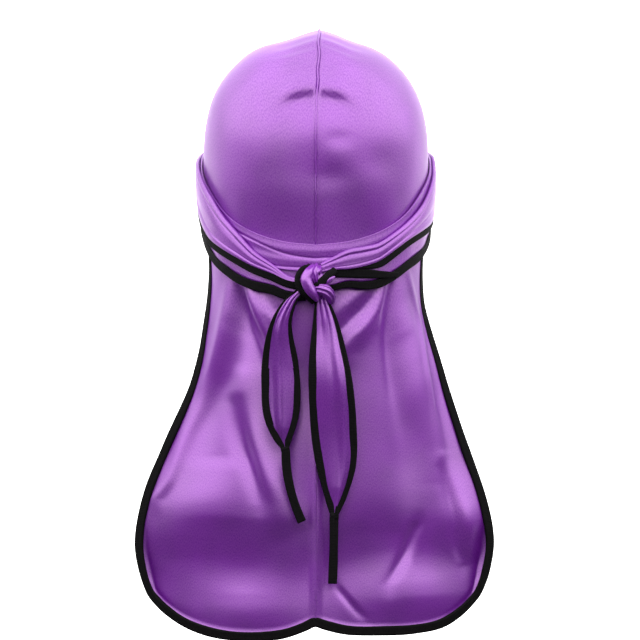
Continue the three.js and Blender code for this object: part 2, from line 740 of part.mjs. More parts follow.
// Black edge down both sides of the leaf, joined at its point in a bare tape end
function tailBinding(name, tail) {
  const { leafRows, tapeRows } = tailRowsFor(tail);
  const rows = [...leafRows, ...tapeRows];
  const open = leafRows.filter(isOpen);
  const tip = leafRows[leafRows.indexOf(open[open.length - 1]) + 1];
  const at = ({ middle, y, z }, x) => new THREE.Vector3(middle + x, y, z);
  const outline = [
    ...rows.map((row) => at(row, -row.half)),
    ...rows.slice().reverse().map((row) => at(row, row.half)),
    ...open.map((row) => at(row, row.half - row.edge)),
    at(tip, 0),
    ...open.slice().reverse().map((row) => at(row, row.edge - row.half)),
  ];
  const flat = outline.map(({ x, z }) => new THREE.Vector2(x, z));
  const caps = THREE.ShapeUtils.triangulateShape(flat, []);
  const size = outline.length;
  const points = [...outline, ...outline.map((point) => point.clone().add(new THREE.Vector3(0, wall, 0)))];
  const turned = THREE.ShapeUtils.isClockWise(flat);
  const faces = caps.flatMap(([a, b, c]) => [[a, b, c], [size + a, size + c, size + b]]);
  outline.forEach((point, i) => {
    const j = (i + 1) % size;
    const sides = turned ? [[i, j, size + j], [i, size + j, size + i]] : [[j, i, size + i], [j, size + i, size + j]];
    faces.push(...sides);
  });
  return tape(name, solidFrom(points, faces));
}

// Ribbon along a smooth path over the knot, its flat side facing out from the knot's middle
function ribbon(path, width, thickness, grow = 0) {
  const sides = 8;
  const steps = 10;
  const curve = new THREE.CatmullRomCurve3(path.map(({ x, out, z }) => new THREE.Vector3(
    knotCentre.x + x * knotHalfWidth,
    knotCentre.y - out * knotHalfDepth,
    knotCentre.z + z * knotHalfHeight,
  )));
  const sections = [...Array(steps + 1).keys()].map((i) => {
    const run = curve.getTangent(i / steps);
    const lengthen = (i === steps ? grow : 0) - (i === 0 ? grow : 0);
    const point = curve.getPoint(i / steps).addScaledVector(run, lengthen);
    const outward = point.clone().sub(knotCentre).setY(-2 * knotHalfDepth).normalize();
    const across = run.clone().cross(outward).normalize();
    const lift = across.clone().cross(run).normalize();
    return [...Array(sides).keys()].map((k) => {
      const turned = 2 * Math.PI * (k + 0.5) / sides;
      return point.clone().addScaledVector(across, width / 2 * Math.cos(turned))
        .addScaledVector(lift, thickness / 2 * Math.sin(turned));
    });
  });
  return sweep(sections);
}

// Joins and cuts between closed geometries
function toSolid(geometry) {
  const bare = geometry.clone();
  bare.deleteAttribute("normal");
  bare.deleteAttribute("uv");
  const merged = mergeVertices(bare, 1e-4);
  return new wasm.Manifold(new wasm.Mesh({
    numProp: 3,
    vertProperties: merged.attributes.position.array,
    triVerts: new Uint32Array(merged.index.array),
  }));
}

function toGeometry(solid) {
  const { vertProperties, triVerts } = solid.getMesh();
  const geometry = new THREE.BufferGeometry();
  geometry.setAttribute("position", new THREE.BufferAttribute(vertProperties, 3));
  geometry.setIndex(new THREE.BufferAttribute(triVerts, 1));
  return geometry;
}

// The knot's body and its purple turns, all grown by the same margin
function knotSolid(grow) {
  const core = new THREE.SphereGeometry(1, 12, 8);
  core.scale(knotCoreWidth * knotHalfWidth + grow, knotCoreDepth + grow, knotCoreHeight * knotHalfHeight + grow);
  core.translate(knotCentre.x, knotCentre.y, knotCentre.z);
  return [knotLoop, knotTurn, knotTop].reduce((body, path) => (
    body.add(toSolid(ribbon(path, knotRibbonWidth + 2 * grow, knotRibbonThickness + 2 * grow, grow)))
  ), toSolid(core));
}

// What runs into the knot is cut off just short of its surface
const knotRoom = knotSolid(edgeGap);

function meetKnot(mesh) {
  const pieces = toSolid(mesh.geometry).subtract(knotRoom).decompose();
  const largest = pieces.sort((a, b) => b.volume() - a.volume())[0];
  mesh.geometry = toGeometry(largest);
  return mesh;
}

function knotEdge(name, path) {
  return meetKnot(tape(name, ribbon(path, knotBindingWidth, knotRibbonThickness)));
}

const leftTail = {
  shape: tailLeftShape,
  top: knotCentre.z - tailLeftTop * knotHalfHeight,
  length: tailLeftLength,
  halfWidth: tailLeftHalfWidth,
  tapeLength: tapeLeftLength,
  tapeDrift: tapeLeftDrift,
};
const rightTail = {
  shape: tailRightShape,
  top: knotCentre.z - tailRightTop * knotHalfHeight,
  length: tailRightLength,
  halfWidth: tailRightHalfWidth,
  tapeLength: tapeRightLength,
  tapeDrift: tapeRightDrift,
};

const group = new THREE.Group();
const leftGrid = panelGrid(-1);
const rightGrid = panelGrid(1);
const leftStations = strapStations(-1, leftCourse, leftLayers);
const rightStations = strapStations(1, rightCourse, rightLayers);
group.add(
  panel("left_panel", -1, leftGrid),
  panel("right_panel", 1, rightGrid),
  flapBinding(leftGrid, rightGrid),
  centreSeam(),
  innerWrap(),
  meetKnot(strap("strap_left", leftStations)),
  meetKnot(strap("strap_right", rightStations)),
  upperBinding("strap_left_binding_upper", leftStations, leftBindingStart),
  upperBinding("strap_right_binding_upper", rightStations, rightBindingStart),
  meetKnot(lowerBinding("strap_left_binding_lower", leftStations)),
  meetKnot(lowerBinding("strap_right_binding_lower", rightStations)),
  satin("knot", toGeometry(knotSolid(0))),
  knotEdge("knot_binding_loop", knotLoopEdge),
  knotEdge("knot_binding_cross", knotCrossEdge),
  meetKnot(tailCloth("tail_left", leftTail)),
  meetKnot(tailCloth("tail_right", rightTail)),
  meetKnot(tailBinding("tail_left_binding", leftTail)),
  meetKnot(tailBinding("tail_right_binding", rightTail)),
);

export default group;
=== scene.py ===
import math

import bmesh
import bpy
import numpy as np
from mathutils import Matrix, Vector


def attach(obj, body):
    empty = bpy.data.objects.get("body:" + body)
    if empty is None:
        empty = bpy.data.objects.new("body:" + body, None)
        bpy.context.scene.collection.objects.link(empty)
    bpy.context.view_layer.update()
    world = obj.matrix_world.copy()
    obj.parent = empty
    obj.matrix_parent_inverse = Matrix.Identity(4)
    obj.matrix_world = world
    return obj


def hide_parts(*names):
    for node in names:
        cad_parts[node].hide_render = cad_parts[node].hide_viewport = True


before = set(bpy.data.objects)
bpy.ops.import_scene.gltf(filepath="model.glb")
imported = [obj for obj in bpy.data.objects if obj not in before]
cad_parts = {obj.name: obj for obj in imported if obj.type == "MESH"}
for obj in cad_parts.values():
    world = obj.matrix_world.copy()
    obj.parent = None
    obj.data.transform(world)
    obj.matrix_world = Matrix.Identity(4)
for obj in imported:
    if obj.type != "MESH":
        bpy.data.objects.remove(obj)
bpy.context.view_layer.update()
mm = 0.001
print("frame loaded,", len(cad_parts), "nodes")


# Numbers and curves

def smooth(value, low, high):
    share = np.clip((np.asarray(value, float) - low) / (high - low), 0, 1)
    return share * share * (3 - 2 * share)


def hump(value, middle, width):
    return np.exp(-((value - middle) / width) ** 2)


def unit(vectors):
    return vectors / np.linalg.norm(vectors, axis=-1, keepdims=True)


def along(table, column, at):
    # smooth curve through one column of a table whose first column is the place
    keys = np.array([row[0] for row in table], float)
    values = np.array([row[column] for row in table], float)
    slopes = np.empty_like(values)
    slopes[1:-1] = (values[2:] - values[:-2]) / (keys[2:] - keys[:-2])
    slopes[0] = (values[1] - values[0]) / (keys[1] - keys[0])
    slopes[-1] = (values[-1] - values[-2]) / (keys[-1] - keys[-2])
    at = np.asarray(at, float)
    i = np.clip(np.searchsorted(keys, at, side="right") - 1, 0, len(keys) - 2)
    span = keys[i + 1] - keys[i]
    s = np.clip((at - keys[i]) / span, 0, 1)
    s2, s3 = s * s, s * s * s
    return ((2 * s3 - 3 * s2 + 1) * values[i] + (s3 - 2 * s2 + s) * span * slopes[i]
            + (3 * s2 - 2 * s3) * values[i + 1] + (s3 - s2) * span * slopes[i + 1])


# The form under the cloth, the same as in the part's source

head = {
    "halfWidth": 78.8, "halfDepth": 96, "crown": 81, "lower": 150, "roundness": 2.3,
    "hangDepth": 142, "hangBlend": 9, "napeFlare": 0.06, "napeDepth": 175,
    "crestHeight": 6, "crestReach": 21, "crestFoot": 0.42, "crestShoulder": 0.1,
    "rayTurns": 30,
}
layers = {
    "wall": 1.2, "gap": 0.75, "wrap": 1.5, "strap": 2.4, "edgeGap": 0.4,
}
layers["wrapInner"] = layers["wall"] + layers["gap"]
layers["wrapOuter"] = layers["wrapInner"] + layers["wrap"]
layers["strapInner"] = layers["wrapOuter"] + layers["gap"]
layers["rise"] = layers["strap"] + layers["gap"]


def sectionShare(z, offset):
    blend, depth, r = head["hangBlend"], head["hangDepth"], head["roundness"]
    hung = blend * np.logaddexp(0, (z + depth) / blend) - depth
    above = z > -head["crown"]
    height = np.where(above, head["crown"], head["lower"]) + offset
    rise = np.abs(np.where(above, z, hung) + head["crown"]) / height
    return np.maximum(1 - rise ** r, 1e-9) ** (1 / r)


def planRadius(angle, z, offset):
    r = head["roundness"]
    share = sectionShare(z, offset)
    x = np.abs(np.sin(angle)) / ((head["halfWidth"] + offset) * share)
    y = np.abs(np.cos(angle)) / ((head["halfDepth"] + offset) * share)
    blend = head["hangBlend"]
    flare = head["napeFlare"] * blend * np.logaddexp(0, (-head["hangDepth"] - z) / blend)
    return (x ** r + y ** r) ** (-1 / r) + flare


def headAt(degrees, z, offset):
    # degrees from the back, + towards +X
    angle = np.radians(degrees)
    radius = planRadius(angle, z, offset)
    return np.stack(np.broadcast_arrays(radius * np.sin(angle), -radius * np.cos(angle), z), -1)


def headToward(direction, offset):
    # where a ray from the middle of the form meets its surface
    r = head["roundness"]
    x, y, z = np.abs(direction[..., 0]), np.abs(direction[..., 1]), direction[..., 2]
    power = ((x / (head["halfWidth"] + offset)) ** r + (y / (head["halfDepth"] + offset)) ** r
             + (np.maximum(z, 0) / (head["crown"] + offset)) ** r)
    upper = power ** (-1 / r)
    height = upper * z - head["crown"]
    fade = smooth(height, -head["crestFoot"] * head["crown"], -head["crestShoulder"] * head["crown"])
    upper = upper + head["crestHeight"] * fade * np.exp(-upper * x / head["crestReach"])
    angle = np.arctan2(direction[..., 0], -direction[..., 1])
    level = np.maximum(np.hypot(direction[..., 0], direction[..., 1]), 1e-6)
    lower = np.full_like(upper, head["halfWidth"])
    for _ in range(head["rayTurns"]):
        lower = planRadius(angle, lower * np.minimum(z, 0) - head["crown"], offset) / level
    reach = np.where(z > 0, upper, lower)
    return direction * reach[..., None] + np.array([0, 0, -head["crown"]])


def directionTo(degrees, depth):
    point = headAt(degrees, -np.asarray(depth, float) * head["napeDepth"], 0.0)
    return unit(point + np.array([0, 0, head["crown"]]))


# Making meshes

def srgb(code):
    channels = [int(code[i:i + 2], 16) / 255 for i in (1, 3, 5)]
    return [c / 12.92 if c <= 0.04045 else ((c + 0.055) / 1.055) ** 2.4 for c in channels] + [1]


def gridPiece(name, columns, rows, place, size, material, slot, thick=0.0, closed=False, flip=False,
              joined=False):
    # place takes two arrays of shares, across and along, and gives points in millimetres
    # size is the piece's real width and length, which its UV map keeps
    # closed gives a tube with filled ends, joined an open ring
    bm = bmesh.new()
    bmesh.ops.create_grid(bm, x_segments=columns, y_segments=rows, size=0.5)
    bm.verts.ensure_lookup_table()
    shares = np.array([v.co[:2] for v in bm.verts]) + 0.5
    points = place(shares[:, 0], shares[:, 1]) * mm
    layer = bm.loops.layers.uv.new("cloth")
    for face in bm.faces:
        for loop in face.loops:
            across, down = shares[loop.vert.index]
            loop[layer].uv = (across * size[0] * mm, down * size[1] * mm)
    for vert, point in zip(bm.verts, points):
        vert.co = point
    if closed or joined:
        bmesh.ops.remove_doubles(bm, verts=bm.verts, dist=0.00001)
    if closed:
        bmesh.ops.holes_fill(bm, edges=[e for e in bm.edges if e.is_boundary], sides=0)
        bmesh.ops.recalc_face_normals(bm, faces=bm.faces)
    elif flip:
        bmesh.ops.reverse_faces(bm, faces=bm.faces)
    return finishPiece(name, smoothMesh(name, bm), material, slot, thick)


def smoothMesh(name, bm):
    for face in bm.faces:
        face.smooth = True
    mesh = bpy.data.meshes.new(name)
    bm.to_mesh(mesh)
    bm.free()
    return mesh


def finishPiece(name, mesh, material, slot, thick=0.0):
    piece = bpy.data.objects.new(name, mesh)
    bpy.context.scene.collection.objects.link(piece)
    mesh.materials.append(material)
    if thick:
        wall = piece.modifiers.new("cloth", "SOLIDIFY")
        wall.thickness = thick * mm
        wall.offset = -1
    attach(piece, "root")
    return piece


def evenly(points, count, turns):
    # the same line with evenly spaced points, smoothed a little between its ends
    for _ in range(turns):
        points[1:-1] = (points[:-2] + 2 * points[1:-1] + points[2:]) / 4
    steps = np.concatenate([[0], np.cumsum(np.linalg.norm(np.diff(points, axis=0), axis=1))])
    at = np.linspace(0, steps[-1], count)
    return np.stack([np.interp(at, steps, points[:, k]) for k in range(points.shape[1])], 1)


tapeForm = {
    "around": 28, "squareness": 0.55, "ribAt": 0.72, "ribReach": 0.16, "ribRise": 0.12,
    "longWave": 11, "shortWave": 4.7, "widthWave": 7, "uneven": 0.03,
}


def tapePiece(name, middles, normals, width, thick, waves, seed=0):
    # flat tape folded over an edge: rounded sides, a raised rib along both of them
    form = tapeForm
    count = len(middles)
    run = unit(np.gradient(middles, axis=0))
    across = unit(np.cross(run, normals))
    up = unit(np.cross(across, run))
    length = np.linalg.norm(np.diff(middles, axis=0), axis=1).sum()
    step = np.linspace(0, length, count)
    wobble = waves * (np.sin(step / form["longWave"] + seed)
                      + 0.6 * np.sin(step / form["shortWave"] + 2.1 * seed))
    widths = np.broadcast_to(width, count) * (1 + form["uneven"] * np.sin(step / form["widthWave"] + 3 * seed))

    def place(around, down):
        i = np.rint(down * (count - 1)).astype(int)
        turn = 2 * np.pi * around
        c, s = np.cos(turn), np.sin(turn)
        side = np.sign(c) * np.abs(c) ** form["squareness"]
        height = np.sign(s) * np.abs(s) ** form["squareness"]
        raised = 1 + form["ribRise"] * hump(np.abs(side), form["ribAt"], form["ribReach"])
        return (middles[i] + across[i] * (side * widths[i] / 2)[:, None]
                + up[i] * (height * raised * thick / 2 + wobble[i])[:, None])

    return gridPiece(name, form["around"], count - 1, place, (2 * (np.max(width) + thick), length), tape,
                     "binding", closed=True)


# Materials

def fillInputs(tree, node, inputs):
    for key, value in inputs.items():
        if isinstance(value, bpy.types.NodeSocket):
            tree.links.new(value, node.inputs[key])
        else:
            node.inputs[key].default_value = value


def addNode(tree, kind, settings=None, inputs=None):
    made = tree.nodes.new(kind)
    for key, value in (settings or {}).items():
        setattr(made, key, value)
    fillInputs(tree, made, inputs or {})
    return made


def newMaterial(name):
    material = bpy.data.materials.new(name)
    material.use_nodes = True
    tree = material.node_tree
    return material, tree, tree.nodes["Principled BSDF"]


def mathNode(tree, operation, *values):
    return addNode(tree, "ShaderNodeMath", {"operation": operation}, dict(enumerate(values))).outputs["Value"]


def fadeNode(tree, value, start, end, low, high):
    made = addNode(tree, "ShaderNodeMapRange", {"interpolation_type": "SMOOTHSTEP"}, {
        "Value": value, "From Min": start, "From Max": end, "To Min": low, "To Max": high})
    return made.outputs["Result"]


def noiseNode(tree, vector, scale, detail):
    made = addNode(tree, "ShaderNodeTexNoise", None, {"Vector": vector, "Scale": scale, "Detail": detail})
    return made.outputs["Fac"]


def rampNode(tree, factor, start, end, low, high):
    made = addNode(tree, "ShaderNodeValToRGB", inputs={"Fac": factor})
    for element, place, colour in zip(made.color_ramp.elements, (start, end), (low, high)):
        element.position = place
        element.color = srgb(colour)
    return made.outputs["Color"]


satinLook = {
    "threadWidth": 0.8, "floatLength": 1.3, "cloudWidth": 45, "floatShare": 0.7,
    "deep": "#540c78", "light": "#6c1793", "dyeStart": 0.65, "dyeEnd": 1.0,
    "gap": "#d69ceb", "shine": "#f4bcff", "glossStart": 0.38, "glossEnd": 0.58,
    "roughness": 0.34, "smoother": 0.04, "rougher": 0.05, "relief": 0.12, "reliefStrength": 0.35,
    "ior": 2.0, "stretched": 0.5, "sheen": 0.08, "sheenRoughness": 0.4,
}


def satinWoven():
    # Polyester satin, warp faced: long smooth floats give a broad gloss that is stretched across the
    # threads. Threads are drawn 0.8 mm wide, as the real 0.1 mm ones would be lost
    material, tree, shader = newMaterial("polyester satin, purple")
    look = satinLook
    place = addNode(tree, "ShaderNodeTexCoord")
    stretch = addNode(tree, "ShaderNodeMapping", inputs={
        "Vector": place.outputs["UV"],
        "Scale": (1 / (look["threadWidth"] * mm), 1 / (look["floatLength"] * mm), 1)})
    floats = noiseNode(tree, stretch.outputs["Vector"], 1, 2)
    cloud = noiseNode(tree, place.outputs["Object"], 1 / (look["cloudWidth"] * mm), 3)
    mixed = mathNode(tree, "MULTIPLY_ADD", floats, look["floatShare"], cloud)
    dye = rampNode(tree, mixed, look["dyeStart"], look["dyeEnd"], look["deep"], look["light"])
    polish = addNode(tree, "ShaderNodeMapRange", inputs={
        "Value": floats, "From Min": 0.3, "From Max": 0.7,
        "To Min": look["roughness"] - look["smoother"], "To Max": look["roughness"] + look["rougher"]})
    gloss = rampNode(tree, floats, look["glossStart"], look["glossEnd"], look["gap"], look["shine"])
    relief = addNode(tree, "ShaderNodeBump", inputs={
        "Height": floats, "Strength": look["reliefStrength"], "Distance": look["relief"] * mm})
    warp = addNode(tree, "ShaderNodeTangent", {"direction_type": "UV_MAP", "uv_map": "cloth"})
    fillInputs(tree, shader, {
        "Base Color": dye, "Specular Tint": gloss, "Roughness": polish.outputs["Result"],
        "Normal": relief.outputs["Normal"], "Tangent": warp.outputs["Tangent"], "IOR": look["ior"],
        "Specular IOR Level": 1.0, "Anisotropic": look["stretched"], "Sheen Weight": look["sheen"],
        "Sheen Roughness": look["sheenRoughness"], "Sheen Tint": srgb(look["shine"])})
    return material


tapeLook = {
    "black": "#060506", "worn": "#0f0d0f", "roughness": 0.75, "mirror": 0.08, "ribPitch": 1.1,
    "ribBend": 1.5, "fuzzPerMetre": 1400, "fuzzShare": 0.6, "relief": 0.3, "reliefStrength": 0.5,
}
waveRepeat = 0.314  # a wave texture repeats at this share of its scale


def bindingTape():
    # Knitted polyester binding: nearly black, matt, with fine ribs across it and a faint fuzz on its edges
    material, tree, shader = newMaterial("binding tape, black")
    look = tapeLook
    place = addNode(tree, "ShaderNodeTexCoord")
    ribs = addNode(tree, "ShaderNodeTexWave", {"bands_direction": "Y"}, {
        "Vector": place.outputs["UV"], "Scale": waveRepeat / (look["ribPitch"] * mm),
        "Distortion": look["ribBend"], "Detail": 1})
    fuzz = noiseNode(tree, place.outputs["Object"], look["fuzzPerMetre"], 3)
    height = mathNode(tree, "MULTIPLY_ADD", fuzz, look["fuzzShare"], ribs.outputs["Fac"])
    colour = addNode(tree, "ShaderNodeMix", {"data_type": "RGBA"}, {
        "Factor": fuzz, 6: srgb(look["black"]), 7: srgb(look["worn"])})
    relief = addNode(tree, "ShaderNodeBump", inputs={
        "Height": height, "Strength": look["reliefStrength"], "Distance": look["relief"] * mm})
    fillInputs(tree, shader, {
        "Base Color": colour.outputs[2], "Normal": relief.outputs["Normal"],
        "Roughness": look["roughness"], "Specular IOR Level": look["mirror"]})
    return material


satin = satinWoven()
tape = bindingTape()
print("materials made")


# Camera first, so that every later stage can be looked at

view = {"distance": 2.0, "side": 0.0029, "height": -0.1992, "lens": 157.6, "sensor": 36}


def addCamera():
    data = bpy.data.cameras.new("photo view")
    data.lens = view["lens"]
    data.sensor_width = view["sensor"]
    camera = bpy.data.objects.new("photo view", data)
    camera.location = (view["side"], -view["distance"], view["height"])
    camera.rotation_euler = (math.pi / 2, 0, 0)
    bpy.context.scene.collection.objects.link(camera)
    bpy.context.scene.camera = camera


addCamera()


# The two halves of the cloth

# share of the way from the forehead hem to the nape, degrees from the back, share of napeDepth
sideEdge = [(0, 130, 0.5), (0.35, 111, 0.58), (0.65, 92, 0.69), (0.85, 74, 0.815), (1, 66, 0.96)]
# share of the drop, half width on the left and on the right as shares of the widest
flapEdge = [
    (0, 0.585, 0.58), (0.08, 0.6, 0.592), (0.17, 0.624, 0.632), (0.26, 0.652, 0.685), (0.36, 0.705, 0.738),
    (0.53, 0.84, 0.838), (0.69, 0.955, 0.938), (0.83, 1, 0.985), (0.93, 0.975, 0.958), (1, 0.93, 0.91),
]
# share of the way from the seam to the corner, how far the hem hangs below the corner
hemLine = [
    (0, 0.58, 0.6), (0.06, 0.72, 0.69), (0.2, 0.92, 0.82), (0.4, 1, 0.85), (0.6, 0.94, 0.84),
    (0.77, 0.73, 0.72), (0.9, 0.4, 0.4), (1, 0, 0),
]
panel = {
    "columns": 110, "rows": 250, "crownShare": 0.56, "frontHem": 0.38, "napeRow": 1.063,
    "halfWidth": 123, "sideDrop": 220, "hemDip": 27, "centreY": -112, "sideY": -70,
    "seamGap": 0.05, "thick": 0.7, "flat": (200, 560), "area": 0.067, "easing": 0.016, "easingReach": 0.03,
}

# Folds of the flap, each a line of (z, x, width, height): ridges stand out, valleys are below zero
flapFolds = [
    [(-158, -55, 5, 0.2), (-178, -58, 5, 1.8), (-198, -61, 5.5, 3.6), (-216, -65, 6, 4),
     (-254, -77, 6, 2.8), (-280, -89, 5, 2.4), (-310, -101, 5, 2.2), (-323, -110, 5, 1.2)],
    [(-166, -50, 4, -0.6), (-199, -52, 6, -2.8), (-230, -57, 8, -3.2), (-260, -70, 9, -2),
     (-290, -80, 8, -0.6)],
    [(-168, -51, 3, 2.2), (-191, -42, 4.5, 4.2), (-213, -33, 6, 3), (-240, -22, 9, 1)],
    [(-166, -53, 4, -1), (-191, -49, 6, -4), (-215, -42, 9, -5.4), (-245, -35, 12, -4),
     (-280, -28, 14, -2.4), (-320, -22, 16, -0.8)],
    [(-172, -45, 3, 1.4), (-189, -37, 3.5, 2), (-202, -28, 5, 1.6), (-225, -18, 7, 0.4)],
    [(-235, -48, 9, 0.6), (-264, -44, 8, 1), (-290, -37, 9, 2.8), (-314, -30, 10, 4), (-338, -24, 12, 2)],
    [(-255, -56, 7, -1), (-285, -50, 6.5, -3.2), (-302, -44, 6, -3.4), (-325, -36, 8, -1.4)],
    [(-300, -70, 18, 1.2), (-325, -78, 22, 3.2), (-350, -88, 20, 1.2)],
    [(-340, -60, 26, -1), (-362, -55, 26, -2.6), (-385, -50, 20, -0.6)],
    [(-168, 49, 3, 2), (-191, 40, 6, 2.7), (-207, 29, 8, 2.7), (-222, 17, 10, 1.2)],
    [(-178, 40, 6, -1), (-196, 28, 8, -2.2), (-208, 17, 9, -1.4)],
    [(-170, 41, 6, 1), (-182, 31, 7, 1.8), (-196, 15, 8, 1)],
    [(-172, 49.5, 2.4, -2), (-209, 48.5, 4, -3), (-240, 51.5, 5, -2.6), (-275, 57, 7, -1.6),
     (-300, 60, 9, -1.6), (-325, 63, 9, -0.6)],
    [(-160, 56, 7, 0.4), (-185, 59, 8, 2.2), (-210, 63, 9, 5.4), (-235, 67, 10, 6), (-260, 72, 10, 4.6),
     (-290, 80, 10, 2.2), (-312, 84, 10, 0.5)],
    [(-164, 62, 2.2, 0.8), (-190, 67, 2.4, 1.4), (-229, 73, 2.8, 1.6), (-260, 79, 3, 1.4),
     (-295, 87, 4, 0.6)],
    [(-295, 88, 7, 0.6), (-318, 97, 9, 2.6), (-338, 103, 10, 5.4), (-354, 105, 8, 3.4),
     (-368, 105.5, 5, 0.6)],
    [(-300, 86, 4, -1), (-327, 93.5, 4, -2.6), (-353, 99.5, 4, -2.6), (-366, 104.5, 4, -1.4)],
    [(-335, 71, 5, -0.4), (-342, 68.5, 4, -1.8), (-360, 61.5, 4, -2.2), (-378, 50, 5, -0.8)],
    [(-378, 14, 3, -0.4), (-385, 19, 3, -1.4), (-396, 28, 3.5, -1.2), (-402, 34, 4, -0.3)],
    [(-350, -15, 14, 0.6), (-390, -30, 30, 2.4), (-408, -30, 30, 1)],
    [(-350, 40, 20, 0.6), (-385, 60, 34, 2.4), (-400, 60, 30, 1)],
]
# how a fold starts and ends, and how all fade at the seam, side edge, hem, strap and crown
foldFade = {
    "low": (-14, 4), "high": (-2, 8), "leastWidth": 1.5, "seam": 0.05, "edge": 0.045, "hem": 0.013,
    "strap": (152, 166), "crown": (-0.09, -0.02),
}
# slow forms, each with its middle and reach: out over the shoulders, in below them, all of it set in
# towards the hem, and the hollow that hangs below the knot
flapSwell = {
    "out": 0.9, "outZ": (-334, 30), "outBeside": 22, "in": 2.7, "inZ": (-373, 23), "inRight": 0.5,
    "rise": 9, "riseX": (-20, 40), "drift": 4, "driftLength": 31, "settle": 3, "settleZ": (190, 400),
    "nape": 4.2, "napeZ": (-238, 40), "napeX": (-8, 32),
}


def crownPoint(side, across, row):
    front, back = directionTo(180, panel["frontHem"]), directionTo(0, panel["napeRow"])
    frontTilt = math.atan2(front[2], front[1])
    backTilt = math.atan2(back[2], back[1]) + 2 * math.pi
    across, row = np.broadcast_arrays(np.asarray(across, float), np.asarray(row, float))
    tilt = frontTilt + (backTilt - frontTilt) * row
    seam = np.stack([np.zeros_like(tilt), np.cos(tilt), np.sin(tilt)], -1)
    edge = directionTo(along(sideEdge, 1, row), along(sideEdge, 2, row))
    angle = np.arccos(np.clip((seam * edge).sum(-1), -1, 1))[..., None]
    share = across[..., None]
    turned = (np.sin((1 - share) * angle) * seam + np.sin(share * angle) * edge) / np.sin(angle)
    point = headToward(turned, 0.0)
    point[..., 0] = side * np.maximum(point[..., 0], panel["seamGap"] / 2)
    return point


def flapPoint(side, across, drop):
    column = 1 if side < 0 else 2
    across, drop = np.broadcast_arrays(np.asarray(across, float), np.asarray(drop, float))
    one = np.ones(1)
    corner = crownPoint(side, one, one)[0]
    seamTop = crownPoint(side, 0 * one, one)[0]
    top = crownPoint(side, across, np.ones_like(across))
    cornerX = along(flapEdge, column, 1) * panel["halfWidth"]
    cornerZ = corner[2] - panel["sideDrop"]

    def hemAt(share):
        share = np.asarray(share, float)
        return np.stack([
            side * np.maximum(share * cornerX, panel["seamGap"] / 2),
            panel["centreY"] + (panel["sideY"] - panel["centreY"]) * share * share,
            cornerZ - panel["hemDip"] * along(hemLine, column, share)], -1)

    seamHem, cornerHem = hemAt(0), hemAt(1)
    edgeX = side * along(flapEdge, column, drop) * panel["halfWidth"]
    edgeTop = side * along(flapEdge, column, 0) * panel["halfWidth"]
    # the side edge leaves the nape's corner quickly and comes to its own line
    edge = np.stack([
        edgeX + (corner[0] - edgeTop) * (1 - drop) ** 6,
        corner[1] + (panel["sideY"] - corner[1]) * drop ** 0.8,
        corner[2] - drop * panel["sideDrop"]], -1)
    a, d = across[..., None], drop[..., None]
    seam = seamTop + (seamHem - seamTop) * d
    corners = (seamTop * (1 - a) * (1 - d) + seamHem * (1 - a) * d
               + corner * a * (1 - d) + cornerHem * a * d)
    point = top * (1 - d) + hemAt(across) * d + seam * (1 - a) + edge * a - corners
    point[..., 0] = side * np.maximum(side * point[..., 0], panel["seamGap"] / 2)
    return point


def foldHeight(point, across, down):
    x, z = point[..., 0], point[..., 2]
    fade, swell = foldFade, flapSwell
    height = np.zeros_like(x)
    for fold in flapFolds:
        rows = sorted(fold)
        low, high = rows[0][0], rows[-1][0]
        middle = along(rows, 1, z)
        ends = smooth(z - low, *fade["low"]) * (1 - smooth(z - high, *fade["high"]))
        width = np.maximum(along(rows, 2, z), fade["leastWidth"])
        height += ends * along(rows, 3, z) * hump(x, middle, width)
    edges = (smooth(across, 0, fade["seam"]) * smooth(1 - across, 0, fade["edge"])
             * smooth(1 - down, 0, fade["hem"]))
    low = z - swell["rise"] * smooth(x, *swell["riseX"]) - swell["drift"] * np.sin(x / swell["driftLength"])
    right = 1 + swell["inRight"] * smooth(x, 0, swell["riseX"][1])
    height += swell["out"] * hump(low, *swell["outZ"]) * smooth(np.abs(x), 0, swell["outBeside"])
    height -= swell["in"] * right * hump(low, *swell["inZ"])
    height -= swell["settle"] * smooth(-z, *swell["settleZ"])
    height *= smooth(-z, *fade["strap"])
    hollow = swell["nape"] * hump(z, *swell["napeZ"]) * hump(x, *swell["napeX"])
    return (height * edges - hollow) * smooth(down - panel["crownShare"], *fade["crown"])


# Puckers of the crown: where each leaves the seam, its fall to the side, its height and width
puckersLeft = [(-1, 0.2, 0.5, 1.8), (-6.4, 0.27, 0.7, 2), (-14.3, 0.27, 0.9, 2.4), (-22.4, 0.25, 0.7, 2.6)]
puckersRight = [(0, 0.24, 0.5, 1.8), (-5.5, 0.3, 0.9, 2), (-10.8, 0.4, 0.8, 1.6), (-15.5, 0.45, 0.9, 2),
                (-24, 0.42, 0.5, 2.6)]
dents = [  # x, z, half width, half height, depth
    (15.5, -75.5, 9, 5.5, 0.8), (11, -101, 12, 8, 0.8), (-20, -98, 22, 11, 0.4), (44, -92, 16, 10, 0.4),
]
# the two dark creases: a bulge that ends in a short step inwards on both sides of the seam
crease = {"z": -44.5, "droop": 7.5, "droopAt": 28, "endX": (12, 32), "softness": 4.2,
          "bulge": 2.6, "bulgeReach": 14, "hollow": 2.2, "hollowReach": 19}
cusp = {"hollow": 1.7, "x": (25, 13), "z": (-24, -8)}
seamPinch = {"depth": 0.45, "x": (0.8, 1.5)}
slack = {"long": 0.35, "longX": 17, "longZ": 21, "longY": 33, "short": 0.2, "shortX": 8.5, "shortZ": 12}
seamPath = {"lean": 2.2, "leanZ": (-75, -5), "leanX": (0, 30),
            "pucker": 0.45, "puckerLength": 3.1, "puckerZ": (-45, -25), "puckerX": (0, 7)}


